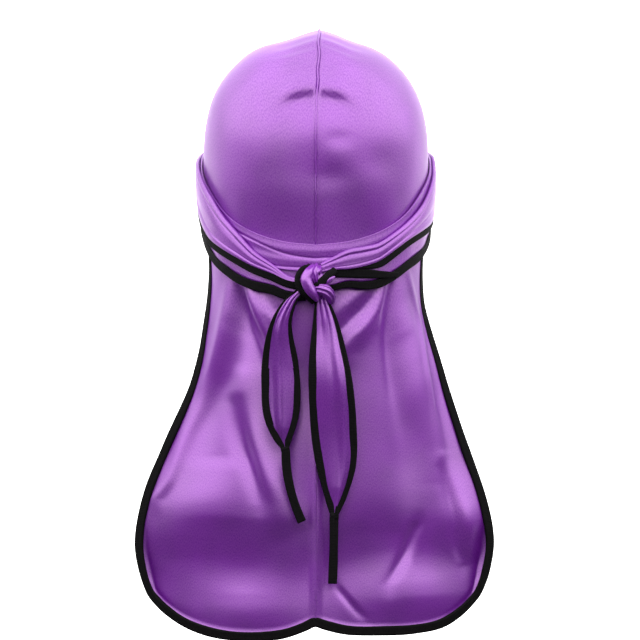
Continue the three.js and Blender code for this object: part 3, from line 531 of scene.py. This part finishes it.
def crownRelief(point):
    x, y, z = point[..., 0], point[..., 1], point[..., 2]
    out = np.abs(x)
    back = 1 - smooth(y, -40, 10)
    below = crease["z"] - crease["droop"] * (out / crease["droopAt"]) ** 2 - z
    reach = smooth(out, 0, 3) * (1 - smooth(out, *crease["endX"])) * back
    step = smooth(below, -crease["softness"], crease["softness"])
    relief = reach * (crease["bulge"] * (1 - step) * hump(below, 0, crease["bulgeReach"])
                      - crease["hollow"] * step * hump(below, 0, crease["hollowReach"]))
    for side, puckers in ((-1, puckersLeft), (1, puckersRight)):
        here = (np.sign(x) == side) * smooth(out, 0, 3) * (1 - smooth(out, 12, 42))
        for start, fall, height, width in puckers:
            relief += here * height * hump(z, start - fall * out, width)
    for dentX, dentZ, halfX, halfZ, depth in dents:
        relief -= back * depth * hump(x, dentX, halfX) * hump(z, dentZ, halfZ)
    # hollow on both sides of the point at the top, and pinched in beside the seam
    relief -= cusp["hollow"] * hump(out, *cusp["x"]) * smooth(z, *cusp["z"])
    relief -= seamPinch["depth"] * hump(out, *seamPinch["x"])
    # slow unevenness of cloth that isn't quite tight
    relief += slack["long"] * np.sin(x / slack["longX"] + 1.3) * np.sin(z / slack["longZ"] + y / slack["longY"])
    relief += slack["short"] * np.sin(x / slack["shortX"] + z / slack["shortZ"] + 0.4)
    return relief


def seamLean(point):
    # the seam runs a little to the right over the top, and wavers there between its puckers
    x, z = point[..., 0], point[..., 2]
    path = seamPath
    leaned = point.copy()
    pucker = path["pucker"] * np.sin(z / path["puckerLength"] + 0.8)
    leaned[..., 0] += (path["lean"] * smooth(z, *path["leanZ"]) * hump(x, *path["leanX"])
                       + pucker * smooth(z, *path["puckerZ"]) * hump(x, *path["puckerX"]))
    return leaned


def panelRaw(side, across, down):
    share = panel["crownShare"]
    crown = crownPoint(side, across, np.minimum(down / share, 1))
    drop = np.maximum((down - share) / (1 - share), 0)
    return np.where((down <= share)[..., None], crown, flapPoint(side, across, drop))


def panelBase(side, across, down):
    # eased where the crown's rows meet the flap's
    reach = panel["easing"] * hump(down, panel["crownShare"], panel["easingReach"])
    return sum(panelRaw(side, across, down + step * reach) for step in (-1, -0.5, 0, 0.5, 1)) / 5


def panelNormal(side, across, down):
    step = 0.002
    outer, inner = np.minimum(across + step, 1), np.maximum(across - step, 0)
    lower, upper = np.minimum(down + step, 1), np.maximum(down - step, 0)
    a = panelBase(side, outer, down) - panelBase(side, inner, down)
    d = panelBase(side, across, lower) - panelBase(side, across, upper)
    return side * unit(np.cross(d, a))


def panelPoint(side, across, down):
    base = panelBase(side, across, down)
    normal = panelNormal(side, across, down)
    share = panel["crownShare"]
    crownFade = 1 - smooth(down, share - 0.1, share - 0.02)
    height = layers["wall"] + crownRelief(base) * crownFade + foldHeight(base, across, down)
    return seamLean(base + normal * height[..., None])


def makePanel(side, name, node):
    piece = gridPiece(name, panel["columns"], panel["rows"],
                      lambda across, down: panelPoint(side, across, down), panel["flat"], satin, "satin",
                      thick=panel["thick"], flip=side > 0)
    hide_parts(node)
    return piece


leftPanel = makePanel(-1, "leftPanelCloth", "left_panel")
rightPanel = makePanel(1, "rightPanelCloth", "right_panel")
print("panels made")


# Flap binding and seams

flapTape = {"width": 6.5, "thick": 2.6, "inset": 1.6, "waves": 0.08, "startDepth": 0.79, "count": 520,
            "sideRows": 240, "hemRows": 160, "turns": 12}


def flapRim(side):
    # from the side edge under the strap, round the corner, to the seam
    down = np.linspace(0.42, 1, flapTape["sideRows"])
    edge = panelPoint(side, np.ones_like(down), down)
    keep = edge[:, 2] < -flapTape["startDepth"] * head["napeDepth"]
    across = np.linspace(1, 0, flapTape["hemRows"])[1:]
    hem = panelPoint(side, across, np.ones_like(across))
    points = np.vstack([edge[keep], hem])
    normals = np.vstack([panelNormal(side, np.ones(keep.sum()), down[keep]),
                         panelNormal(side, across, np.ones_like(across))])
    return points, normals


def makeFlapTape():
    form = flapTape
    left, leftNormals = flapRim(-1)
    right, rightNormals = flapRim(1)
    both = np.hstack([np.vstack([left, right[::-1]]), np.vstack([leftNormals, rightNormals[::-1]])])
    both = evenly(both, form["count"], form["turns"])
    middles, normals = both[:, :3], unit(both[:, 3:])
    inward = unit(np.cross(normals, np.gradient(middles, axis=0)))
    middles = middles - normals * panel["thick"] / 2 + inward * form["inset"]
    piece = tapePiece("flapEdgeTape", middles, normals, form["width"], form["thick"], form["waves"])
    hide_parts("flap_binding")
    return piece


flapEdgeTape = makeFlapTape()


seamForm = {"around": 12, "rows": 420, "flat": (5, 300), "proud": 0.28, "twist": 0.15, "shortTwist": 0.09}


def makeSeam(name, downs, width, height, node=None):
    def place(around, down):
        at = downs[0] + (downs[1] - downs[0]) * down
        none = np.zeros_like(at)
        middle = (panelPoint(-1, none, at) + panelPoint(1, none, at)) / 2
        normal = unit(panelNormal(-1, none, at) + panelNormal(1, none, at))
        turn = 2 * np.pi * around
        twist = seamForm["twist"] * np.sin(at * 260) + seamForm["shortTwist"] * np.sin(at * 611)
        lift = height * (0.5 * np.sin(turn) + seamForm["proud"])
        point = middle + normal * lift[:, None]
        point[:, 0] += width / 2 * np.cos(turn) + twist * (np.sin(turn) > 0.3)
        return point

    piece = gridPiece(name, seamForm["around"], seamForm["rows"], place, seamForm["flat"], satin, "satin",
                      closed=True)
    if node:
        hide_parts(node)
    return piece


crownSeam = makeSeam("crownSeam", (0.01, 0.53), 1.4, 1.3, "centre_seam")
flapSeam = makeSeam("flapSeam", (0.57, 0.995), 1.0, 0.9)
print("flap binding and seams made")


# Ties: first pass and the two folded straps

# degrees from the back, top edge as a share of napeDepth, height as a share of wrapWidth
wrapCourse = [
    (0, 0.846, 0.62), (14, 0.831, 0.64), (27, 0.794, 0.68), (41, 0.729, 0.76), (60, 0.611, 0.9),
    (90, 0.491, 0.94), (112, 0.437, 0.94), (135, 0.38, 0.94), (180, 0.3, 0.94),
]
wrap = {"width": 30, "columns": 60, "rows": 300, "thick": 0.7, "flat": (30, 560), "lift": 0.2, "puff": 1.1}
# folds down the wrap's face: height, share of the way down, its drift and the degrees of that,
# how far it crosses from side to side, half width
wrapFolds = [
    (0.5, 0.24, 0.04, 19, 0, 0.16), (-0.5, 0.5, 0, 1, 0.24, 0.045),
    (0.4, 0.62, 0.05, 23, 0, 0.14), (-0.35, 0.86, 0, 1, -0.1, 0.04),
]


def wrapPoint(across, down):
    degrees = 360 * down
    turned = np.minimum(degrees, 360 - degrees)
    height = along(wrapCourse, 2, turned) * wrap["width"]
    top = -along(wrapCourse, 1, turned) * head["napeDepth"]
    # over the edge at the top, down the face with soft folds, and under again at the bottom
    share = np.clip((across - 0.08) / 0.84, 0, 1)
    side = np.where(degrees < 180, 1, -1)
    spread = side * smooth(turned, 2, 30) * (1 - smooth(turned, 150, 178))
    folds = sum(rise * hump(share, at + drift * np.sin(turned / length) + cross * spread, width)
                for rise, at, drift, length, cross, width in wrapFolds)
    lip = smooth(across, 0, 0.08) * (1 - smooth(across, 0.92, 1))
    offset = layers["wrapInner"] + wrap["lift"] + lip * (wrap["puff"] + folds)
    return headAt(degrees, top - share * height, offset)


wrapCloth = gridPiece("wrapFirstPass", wrap["columns"], wrap["rows"], wrapPoint, wrap["flat"], satin, "satin",
                      thick=wrap["thick"], joined=True)
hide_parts("inner_wrap")

# degrees from the knot round to the tucked end, top edge as a share of napeDepth, then the lower
# edges of the double face and of the single lip as shares of strapWidth
frontCourse = [
    (100, 0.468, 0.54, 0.76), (112, 0.446, 0.47, 0.62), (125, 0.424, 0.4, 0.5), (138, 0.41, 0.33, 0.43),
    (150, 0.403, 0.33, 0.43), (165, 0.4, 0.33, 0.43), (180, 0.331, 0.32, 0.42), (195, 0.263, 0.31, 0.4),
    (210, 0.263, 0.31, 0.4), (220, 0.34, 0.32, 0.41), (228, 0.416, 0.32, 0.41),
]
leftCourse = [
    (2, 0.985, 0.06, 0.18), (11, 0.968, 0.07, 0.24), (17.5, 0.923, 0.14, 0.33), (26, 0.869, 0.24, 0.48),
    (34, 0.8, 0.38, 0.66), (43, 0.729, 0.52, 0.79), (53, 0.646, 0.69, 0.95), (70, 0.549, 0.7, 0.98),
    (90, 0.486, 0.56, 0.86), *frontCourse,
]
rightCourse = [
    (2, 0.92, 0.14, 0.38), (7, 0.895, 0.2, 0.44), (13, 0.866, 0.31, 0.5), (19, 0.855, 0.31, 0.55),
    (26, 0.84, 0.28, 0.575), (34, 0.8, 0.26, 0.61), (43, 0.751, 0.28, 0.64), (53, 0.694, 0.38, 0.74),
    (70, 0.594, 0.62, 0.9), (90, 0.514, 0.72, 0.92), *frontCourse,
]
leftLayers = [(0, 0), (117, 0), (129, 1), (196, 1), (209, 0), (360, 0)]
rightLayers = [(0, 0), (117, 0), (129, 1), (151, 1), (164, 0), (360, 0)]
strap = {
    "width": 42, "columns": 56, "rows": 330, "thick": 0.5, "flat": (44, 370), "lean": 0.1,
    "tape": 6.2, "tapeThick": 1.7, "tapeWaves": 0.06, "tapeRows": 300, "upperStart": {-1: 6, 1: 15},
    "innerEnd": 0.34, "outerStart": 0.4, "innerLift": 0.35, "outerLift": 2.0, "foldRadius": 0.75,
}
# creases down the outer ply: height, share of the way down, its drift, the degrees of that and where
# it starts, half width
strapFolds = [
    (0.5, 0.09, 0, 1, 0, 0.06), (-0.5, 0.2, 0.03, 13, 0, 0.04), (0.55, 0.45, 0, 1, 0, 0.2),
    (-0.35, 0.72, 0.1, 17, 1, 0.035), (0.3, 0.88, 0, 1, 0, 0.08),
]


def strapEdges(course, layerTable, degrees):
    top = -along(course, 1, degrees) * head["napeDepth"]
    face = along(course, 2, degrees) * strap["width"]
    lip = along(course, 3, degrees) * strap["width"]
    return top, face, lip, layers["strapInner"] + np.interp(degrees, *zip(*layerTable)) * layers["rise"]


def strapLean(face, degrees):
    # the lower edge stands proud at the back, where the strap is pulled up to the knot
    return strap["lean"] * face * (1 - 0.8 * smooth(degrees, 35, 85))


def strapPoint(side, course, layerTable, across, down):
    start, end = course[0][0], course[-1][0]
    degrees = start + (end - start) * down
    top, face, lip, offset = strapEdges(course, layerTable, degrees)
    # inner ply from the lip's edge up, over the fold, and down the outer ply
    last, first, fold = strap["innerEnd"], strap["outerStart"], strap["foldRadius"]
    inner = np.clip(across / last, 0, 1)
    outer = np.clip((across - first) / (1 - first), 0, 1)
    turn = np.clip((across - last) / (first - last), 0, 1) * math.pi
    isInner, isOuter = across < last, across > first
    bent = ~isInner & ~isOuter
    below = np.where(isInner, lip + (fold - lip) * inner, fold + (face - fold) * outer)
    below = np.where(bent, fold - fold * np.sin(turn), below)
    low, high = strap["innerLift"], strap["outerLift"]
    height = np.where(isInner, low, high)
    height = np.where(bent, (low + high) / 2 - (high - low) / 2 * np.cos(turn), height)
    # creases run lengthwise down the face and die out towards the forehead
    near = 1 - 0.7 * smooth(degrees, 80, 140)
    waves = sum(rise * hump(outer, at + drift * np.sin(degrees / length + phase * side), width)
                for rise, at, drift, length, phase, width in strapFolds)
    height = height + np.where(isOuter, waves * near * smooth(outer, 0, 0.06) * smooth(face, 3, 9), 0)
    height = height + np.where(isOuter, outer, 0.25 * (1 - inner)) * strapLean(face, degrees)
    lipWave = 0.25 * np.sin(degrees / 3.1 + side) * smooth(1 - inner, 0.2, 1)
    height = height + np.where(isInner, lipWave, 0)
    return headAt(side * degrees, top - below, offset + height)


def strapTape(name, side, course, layerTable, edge, node):
    start = strap["upperStart"][side] if edge == "upper" else course[0][0] + 2
    degrees = np.linspace(start, course[-1][0] - 1, strap["tapeRows"])
    top, face, lip, offset = strapEdges(course, layerTable, degrees)
    width = np.full_like(face, strap["tape"])
    if side > 0:
        # the right tapes start narrow, where they come out from under the knot
        least, end = (0.25, start + 12) if edge == "upper" else (0.62, 28)
        width = width * (least + (1 - least) * smooth(degrees, start, end))
    if edge == "upper":
        below = face + width / 2 - 1.2
        lift = offset + 1.35 + strapLean(face, degrees)
    else:
        below = lip + width / 2 + 0.2
        lift = offset + 0.75
    middles = headAt(side * degrees, top - below, lift)
    outward = unit(headAt(side * degrees, top - below, lift + 1) - middles)
    points = evenly(np.hstack([middles, outward]), strap["tapeRows"], turns=3)
    piece = tapePiece(name, points[:, :3], unit(points[:, 3:]), width, strap["tapeThick"],
                      strap["tapeWaves"], seed=side)
    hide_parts(node)
    return piece


def makeStrap(side, word, course, layerTable):
    cloth = gridPiece("strap" + word + "Cloth", strap["columns"], strap["rows"],
                      lambda across, down: strapPoint(side, course, layerTable, across, down),
                      strap["flat"], satin, "satin", thick=strap["thick"], flip=side > 0)
    node = "strap_" + word.lower()
    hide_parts(node)
    return cloth, *(strapTape("strap" + word + edge + "Edge", side, course, layerTable, edge.lower(),
                              node + "_binding_" + edge.lower()) for edge in ("Upper", "Lower"))


strapLeft, strapLeftUpper, strapLeftLower = makeStrap(-1, "Left", leftCourse, leftLayers)
strapRight, strapRightUpper, strapRightLower = makeStrap(1, "Right", rightCourse, rightLayers)

# the edge of the right strap's hidden ply shows between the face and the lower edge, beside the knot:
# degrees from the back, z, width
middleEdge = [(5, -167.2, 5.6), (14, -167.4, 6), (22, -167.8, 6), (29, -168.2, 5), (36, -168, 2.6)]


def makeMiddleEdge():
    degrees = np.linspace(middleEdge[0][0], middleEdge[-1][0], 90)
    z, lift = along(middleEdge, 1, degrees), layers["strapInner"] + 1.9
    middles = headAt(degrees, z, lift)
    outward = unit(headAt(degrees, z, lift + 1) - middles)
    return tapePiece("strapRightMiddleEdge", middles, outward, along(middleEdge, 2, degrees),
                     strap["tapeThick"], waves=0.05, seed=4)


strapRightMiddle = makeMiddleEdge()
print("wrap and straps made")


# Knot: a core, four folds of cloth over it and two bound edges

knot = {"halfHeight": 13.5, "halfDepth": 7, "shift": -1, "coreShare": 0.72, "core": (8.6, 4.9, 10.2),
        "lobes": 0.05, "rows": 89}
knotMiddle = headAt(np.zeros(1), np.array([-float(head["napeDepth"])]),
                    layers["wrapOuter"] + layers["edgeGap"] + knot["coreShare"] * knot["halfDepth"])[0]
knotMiddle[0] = knot["shift"]
# each path's points are x, out and z in millimetres from the knot's middle, then the half width
knotFolds = {
    "knotTopFold": ([(1.5, -1, 12.5, 4.2), (0.8, 3.6, 10.6, 4.4), (-0.2, 6, 7.6, 3.6), (0.6, 6, 3.5, 2.6),
                     (2, 4.4, -0.5, 2)], {"pleats": 3.2, "depth": 0.7}),
    "knotTurn": ([(0.5, 5.6, -2.5, 3.2), (4.6, 7.2, -3.4, 3.9), (9.2, 6.4, -5.2, 4.2),
                  (12, 3.6, -8.8, 3.6), (11.4, 0.4, -12.4, 2.4)], {"pleats": 3.6, "depth": 0.6, "seed": 1}),
    "knotLoop": ([(-1, 1.5, 11.6, 3), (-3.9, 6.2, 8.6, 3.6), (-5.9, 8.2, 3.6, 3.9), (-4.4, 8.8, -2, 3.9),
                  (-0.8, 7.4, -7, 3.6), (1.8, 4, -10.4, 2.6)],
                 {"pleats": 1.6, "depth": 0.3, "bulge": 1.9, "seed": 2}),
    "knotSliver": ([(4, 5.5, -1.4, 1), (7.6, 5.6, 1.2, 1.3), (11, 4.2, 3.4, 1.7), (13.6, 1.6, 5, 1.2)],
                   {"pleats": 1, "depth": 0.15, "bulge": 0.7, "tuck": 0.8}),
}
knotEdge = {"pleats": 1, "depth": 0.1, "thick": 1, "tuck": 1.2}
knotEdges = {
    "knotOuterEdge": ("knot_binding_loop", 1, [
        (-3, -0.5, 13, 2), (-8.2, 2.4, 10.8, 2.6), (-11.4, 4, 6.2, 2.7), (-11.8, 4.8, 0.8, 2.7),
        (-9.2, 5, -4.6, 2.8), (-4.6, 4.4, -9, 2.8), (-0.6, 2.4, -12.6, 2.2)]),
    "knotCrossEdge": ("knot_binding_cross", 0.9, [
        (14.5, -0.5, 9.6, 2.6), (11.2, 3, 6.8, 3), (7, 6, 2.8, 3), (2.8, 7, -0.8, 2.7), (-0.5, 6, -4, 2.2)]),
}


def curveThrough(path, count):
    rows = [(i, *point) for i, point in enumerate(path)]
    at = np.linspace(0, len(path) - 1, count)
    return np.stack([along(rows, column, at) for column in range(1, len(rows[0]))], 1)


def ribbonPiece(name, path, material, slot, pleats, depth, bulge=1.6, thick=0.6, seed=0, tuck=2.4):
    # a strip along the path: domed across, pleated lengthwise, tucked under at both sides
    line = curveThrough(path, knot["rows"] + 1)
    middle = knotMiddle + np.stack([line[:, 0], -line[:, 1], line[:, 2]], 1)
    run = unit(np.gradient(middle, axis=0))
    outward = middle - knotMiddle
    outward[:, 1] = np.minimum(outward[:, 1], -4) * 1.6
    across = unit(np.cross(run, unit(outward)))
    lift = unit(np.cross(across, run))
    length = np.linalg.norm(np.diff(middle, axis=0), axis=1).sum()

    def place(share, down):
        i = np.rint(down * knot["rows"]).astype(int)
        q = 2 * share - 1
        ripple = depth * np.cos(math.pi * pleats * q + seed + 1.2 * np.sin(3 * down + seed)) * (1 - q * q)
        height = bulge * (1 - q * q) - tuck * np.abs(q) ** 3.2 + ripple
        side = line[i, 3] * np.sin(q * 1.35) / np.sin(1.35)
        return middle[i] + across[i] * side[:, None] + lift[i] * height[:, None]

    flat = (2.6 * line[:, 3].max(), length)
    return gridPiece(name, 30, knot["rows"], place, flat, material, slot, thick=thick)


def makeKnot():
    bm = bmesh.new()
    bmesh.ops.create_uvsphere(bm, u_segments=48, v_segments=32, radius=1)
    for vert in bm.verts:
        x, y, z = vert.co
        swell = 1 + knot["lobes"] * math.sin(5 * math.atan2(z, x) + 2 * y)
        vert.co = mm * Vector(knotMiddle + np.array([x * swell, y, z * swell]) * knot["core"])
    bmesh.ops.recalc_face_normals(bm, faces=bm.faces)
    mesh = smoothMesh("knotCore", bm)
    mesh.uv_layers.new(name="cloth")
    core = finishPiece("knotCore", mesh, satin, "satin")
    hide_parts("knot")
    for name, (path, form) in knotFolds.items():
        ribbonPiece(name, path, satin, "satin", **form)
    for name, (node, bulge, path) in knotEdges.items():
        edge = ribbonPiece(name, path, tape, "binding", bulge=bulge, **knotEdge)
        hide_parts(node)
    return core


knotCore = makeKnot()
print("knot made")


# Tails

# shape: share of the length, then middle and half width as shares of the tail's half width
# swell: where the tail stands out most, how far that reaches and how much it is
tails = {
    "Left": {
        "shape": [(0, -0.55, 0.2), (0.09, -1.3, 0.36), (0.24, -1.8, 0.58), (0.46, -1.83, 0.94),
                  (0.62, -1.78, 1), (0.78, -1.77, 0.91), (0.9, -1.7, 0.55), (1, -1.53, 0.1)],
        "top": 0.1, "length": 112, "halfWidth": 13.2, "tapeLength": 47, "tapeDrift": 11, "ridge": -0.1,
        "swell": (0.2, 0.2, 3.4), "flat": (30, 112), "area": 0.0021,
    },
    "Right": {
        "shape": [(0, 0.22, 0.24), (0.12, 0.42, 0.54), (0.28, 0.55, 0.84), (0.44, 0.68, 0.98), (0.6, 0.78, 1),
                  (0.76, 0.88, 0.87), (0.88, 0.87, 0.54), (1, 0.79, 0.1)],
        "top": 0.5, "length": 152, "halfWidth": 15.6, "tapeLength": 43, "tapeDrift": -1, "ridge": 0.55,
        "swell": (0.36, 0.21, 5.6), "flat": (36, 152), "area": 0.0038,
    },
}
tail = {"standOff": 4.5, "settle": 0.4, "tape": 6, "tapeThick": 1.8, "endWidth": 6, "gather": 0.42,
        "columns": 44, "rows": 120, "thick": 0.7, "dome": 2.6, "ridge": 1.5, "valley": 1.1, "gathers": 0.9}
seamTopY = crownPoint(1, np.zeros(1), np.ones(1))[0]
seamHemY = flapPoint(1, np.zeros(1), np.ones(1))[0]


def tailRow(form, down):
    leaf = np.minimum(down, 1)
    past = np.maximum(down - 1, 0)
    z = knotMiddle[2] - form["top"] * knot["halfHeight"] - leaf * form["length"] - past * form["tapeLength"]
    middle = along(form["shape"], 1, leaf) * form["halfWidth"] + past ** 2 * form["tapeDrift"]
    half = np.maximum(along(form["shape"], 2, leaf) * form["halfWidth"], tail["endWidth"] / 2)
    share = (z - seamTopY[2]) / (seamHemY[2] - seamTopY[2])
    flapY = seamTopY[1] + (seamHemY[1] - seamTopY[1]) * share
    settle = smooth(down, 0, tail["settle"])
    y = knotMiddle[1] + (flapY - tail["standOff"] - knotMiddle[1]) * settle
    at, reach, height = form["swell"]
    y = y - height * hump(down, at, reach)
    slim = np.where(down < 0.5, tail["gather"] * half, half)
    return middle, half, y, z, np.minimum(tail["tape"], slim)


def makeTail(word):
    form = tails[word]

    def cloth(share, down):
        middle, half, y, z, edge = tailRow(form, 0.02 + 0.96 * down)
        q = 2 * share - 1
        reach = np.maximum(half - edge * 0.5, 0.4)
        swell = np.minimum(tail["dome"], 0.4 * reach) * (1 - q * q)
        start = smooth(down, 0.04, 0.3)
        ridge = tail["ridge"] * hump(q, form["ridge"], 0.16) * start * (1 - smooth(down, 0.8, 1))
        valley = tail["valley"] * hump(q, form["ridge"] - 0.42, 0.18) * start * (1 - smooth(down, 0.7, 1))
        gathers = tail["gathers"] * np.cos(q * 9 + 0.6) * (1 - smooth(down, 0.04, 0.26)) * (1 - q * q)
        x = middle + q * reach
        return np.stack([x, y + 0.5 - swell - ridge + valley - gathers, z], -1)

    piece = gridPiece("tail" + word + "Cloth", tail["columns"], tail["rows"], cloth, form["flat"], satin,
                      "satin", thick=tail["thick"])
    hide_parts("tail_" + word.lower())
    pieces = [piece]
    facing = np.array([0.0, -1.0, 0.0])
    middle, half, y, z, edge = tailRow(form, np.linspace(0.0, 1.0, tail["rows"]))
    for side, name in ((-1, "LeftEdge"), (1, "RightEdge")):
        line = np.stack([middle + side * (half - edge / 2), y + 0.1 * side - 0.2, z], 1)
        pieces.append(tapePiece("tail" + word + name, line, np.tile(facing, (len(line), 1)),
                                np.maximum(edge, 1.6), tail["tapeThick"], waves=0.12, seed=side + len(word)))
    # both edges meet in the bare end of the tape
    middle, half, y, z, edge = tailRow(form, np.linspace(0.97, 2, 70))
    line = np.stack([middle, y - 0.4, z], 1)
    end = tapePiece("tail" + word + "TapeEnd", line, np.tile(facing, (len(line), 1)), tail["endWidth"],
                    tail["tapeThick"] * 1.25, waves=0.25, seed=len(word))
    pieces.append(end)
    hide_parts("tail_" + word.lower() + "_binding")
    return pieces


tailLeft = makeTail("Left")
tailRight = makeTail("Right")
print("tails made")


# Cloth pieces listed with their tapes and seams; clothSheet does nothing with them

def clothSheet(piece, withPieces=()):
    list(withPieces)


clothSheet(leftPanel,
           withPieces=[crownSeam, flapSeam, flapEdgeTape])
clothSheet(rightPanel)
clothSheet(wrapCloth)
clothSheet(strapLeft, withPieces=[strapLeftUpper, strapLeftLower])
clothSheet(strapRight,
           withPieces=[strapRightUpper, strapRightLower, strapRightMiddle])
for word, pieces in (("Left", tailLeft), ("Right", tailRight)):
    clothSheet(pieces[0], pieces[1:])




# Studio

# metres: the paper's floor, its curve and wall, and how pale it is in front and behind, with painted shade in
# front and a painted glow behind that is dimmed towards the sides as painted shade, then the tent
studio = {
    "floor": -0.62, "width": 12, "front": -7, "run": 13, "curveFrom": 2.6, "curveRadius": 1.2,
    # the paper is darkened in front as painted shade, glows behind as painted light, and that glow is dimmed to
    # the sides as painted shade
    "paperFrontPaintedShade": 0.07, "paperBack": 0.9, "paperFade": (-0.2, 1.3),
    "paperPaintedGlow": 0.95, "glowFade": (0.5, 1.4), "sidePaintedShade": 0.45, "sideFade": (0.8, 2.2),
    "air": 0.09, "skyShare": 0.8, "skyFade": (0.05, 0.3),
    "tentGlow": 2.6, "tentFoot": -0.1, "tentFade": 0.26, "tentRadius": 1.2, "tentSpan": 112,
    "tentWall": 0.6, "tentRoof": 1.1, "flank": (0.97, 1.08), "flankFade": (0.45, 0.95),
}


def stagePiece(name, columns, rows, place, material):
    bm = bmesh.new()
    bmesh.ops.create_grid(bm, x_segments=columns, y_segments=rows, size=0.5)
    for vert in bm.verts:
        vert.co = place(vert.co.x + 0.5, vert.co.y + 0.5)
    bmesh.ops.remove_doubles(bm, verts=bm.verts, dist=0.0001)
    mesh = smoothMesh(name, bm)
    mesh.materials.append(material)
    made = bpy.data.objects.new(name, mesh)
    bpy.context.scene.collection.objects.link(made)


def sweepPlace(across, along):
    # floor, a wide curve, and the wall behind
    start, radius, floor = studio["curveFrom"], studio["curveRadius"], studio["floor"]
    run = studio["front"] + studio["run"] * along
    turn = max(0.0, run - start) / radius
    x = studio["width"] * (across - 0.5)
    if turn < math.pi / 2:
        return Vector((x, min(run, start) + radius * math.sin(turn), floor + radius * (1 - math.cos(turn))))
    return Vector((x, start + radius, floor + radius * (1 + turn - math.pi / 2)))


def tentPlace(across, along):
    # upright at its lower edge, closed overhead, open towards the wall
    azimuth = math.radians(studio["tentSpan"]) * (2 * across - 1)
    lean = max(0.0, along - 0.3) / 0.7 * math.pi / 2
    radius = studio["tentRadius"] * math.cos(lean)
    wall = min(along / 0.3, 1) * studio["tentWall"]
    height = studio["tentFoot"] + wall + studio["tentRoof"] * math.sin(lean)
    return Vector((radius * math.sin(azimuth), -radius * math.cos(azimuth), height))


def placeParts(tree, socket="Object"):
    place = addNode(tree, "ShaderNodeTexCoord")
    return addNode(tree, "ShaderNodeSeparateXYZ", inputs={"Vector": place.outputs[socket]}).outputs


def addPaper():
    # Pale paper with painted shade and painted light: darker in front, where satin would mirror it, and glowing
    # behind, with the glow dimmed towards the sides
    paper, tree, shader = newMaterial("background paper, white, painted light and shade")
    parts = placeParts(tree)
    aside = mathNode(tree, "ABSOLUTE", parts["X"])
    # painted shade: the paper is darker in front
    pale = fadeNode(tree, parts["Y"], *studio["paperFade"], studio["paperFrontPaintedShade"], studio["paperBack"])
    # painted light: the paper glows behind, and painted shade dims that glow towards the sides
    paintedGlow = fadeNode(tree, parts["Y"], *studio["glowFade"], 0.0, studio["paperPaintedGlow"])
    paintedSideShade = fadeNode(tree, aside, *studio["sideFade"], 1.0, studio["sidePaintedShade"])
    fillInputs(tree, shader, {
        "Base Color": pale, "Emission Strength": mathNode(tree, "MULTIPLY", paintedGlow, paintedSideShade),
        "Emission Color": srgb("#ffffff"), "Roughness": 0.95, "Specular IOR Level": 0.0})
    stagePiece("paperSweep", 2, 60, sweepPlace, paper)


def addTent():
    # Light tent: glowing white cloth round the camera's side and overhead, clear from outside. It
    # fades out at its foot, level with the crown, which ends the highlight there and leaves the
    # flap in half light
    tent, tree, shader = newMaterial("light tent, glowing cloth")
    tree.nodes.remove(shader)
    parts = placeParts(tree)
    aside = mathNode(tree, "ABSOLUTE", parts["X"])
    foot = studio["tentFoot"]
    power = mathNode(tree, "MULTIPLY",
                     fadeNode(tree, parts["Z"], foot, foot + studio["tentFade"], 0.0, studio["tentGlow"]),
                     fadeNode(tree, aside, *studio["flankFade"], *studio["flank"]))
    glow = addNode(tree, "ShaderNodeEmission", inputs={"Strength": power})
    clear = addNode(tree, "ShaderNodeBsdfTransparent")
    side = addNode(tree, "ShaderNodeNewGeometry")
    both = addNode(tree, "ShaderNodeMixShader", inputs={
        0: side.outputs["Backfacing"], 1: clear.outputs[0], 2: glow.outputs[0]})
    tree.links.new(both.outputs[0], tree.nodes["Material Output"].inputs["Surface"])
    stagePiece("lightTent", 48, 24, tentPlace, tent)


def addAir():
    # dim air at the horizon and a bright sky overhead
    world = bpy.data.worlds.new("studio air")
    bpy.context.scene.world = world
    world.use_nodes = True
    tree = world.node_tree
    height = placeParts(tree, "Generated")["Z"]
    sky = fadeNode(tree, height, *studio["skyFade"], studio["air"], studio["tentGlow"] * studio["skyShare"])
    fillInputs(tree, tree.nodes["Background"], {"Color": srgb("#ffffff"), "Strength": sky})


addPaper()
addTent()
addAir()
bpy.context.scene.view_settings.view_transform = "Standard"
print("studio made")
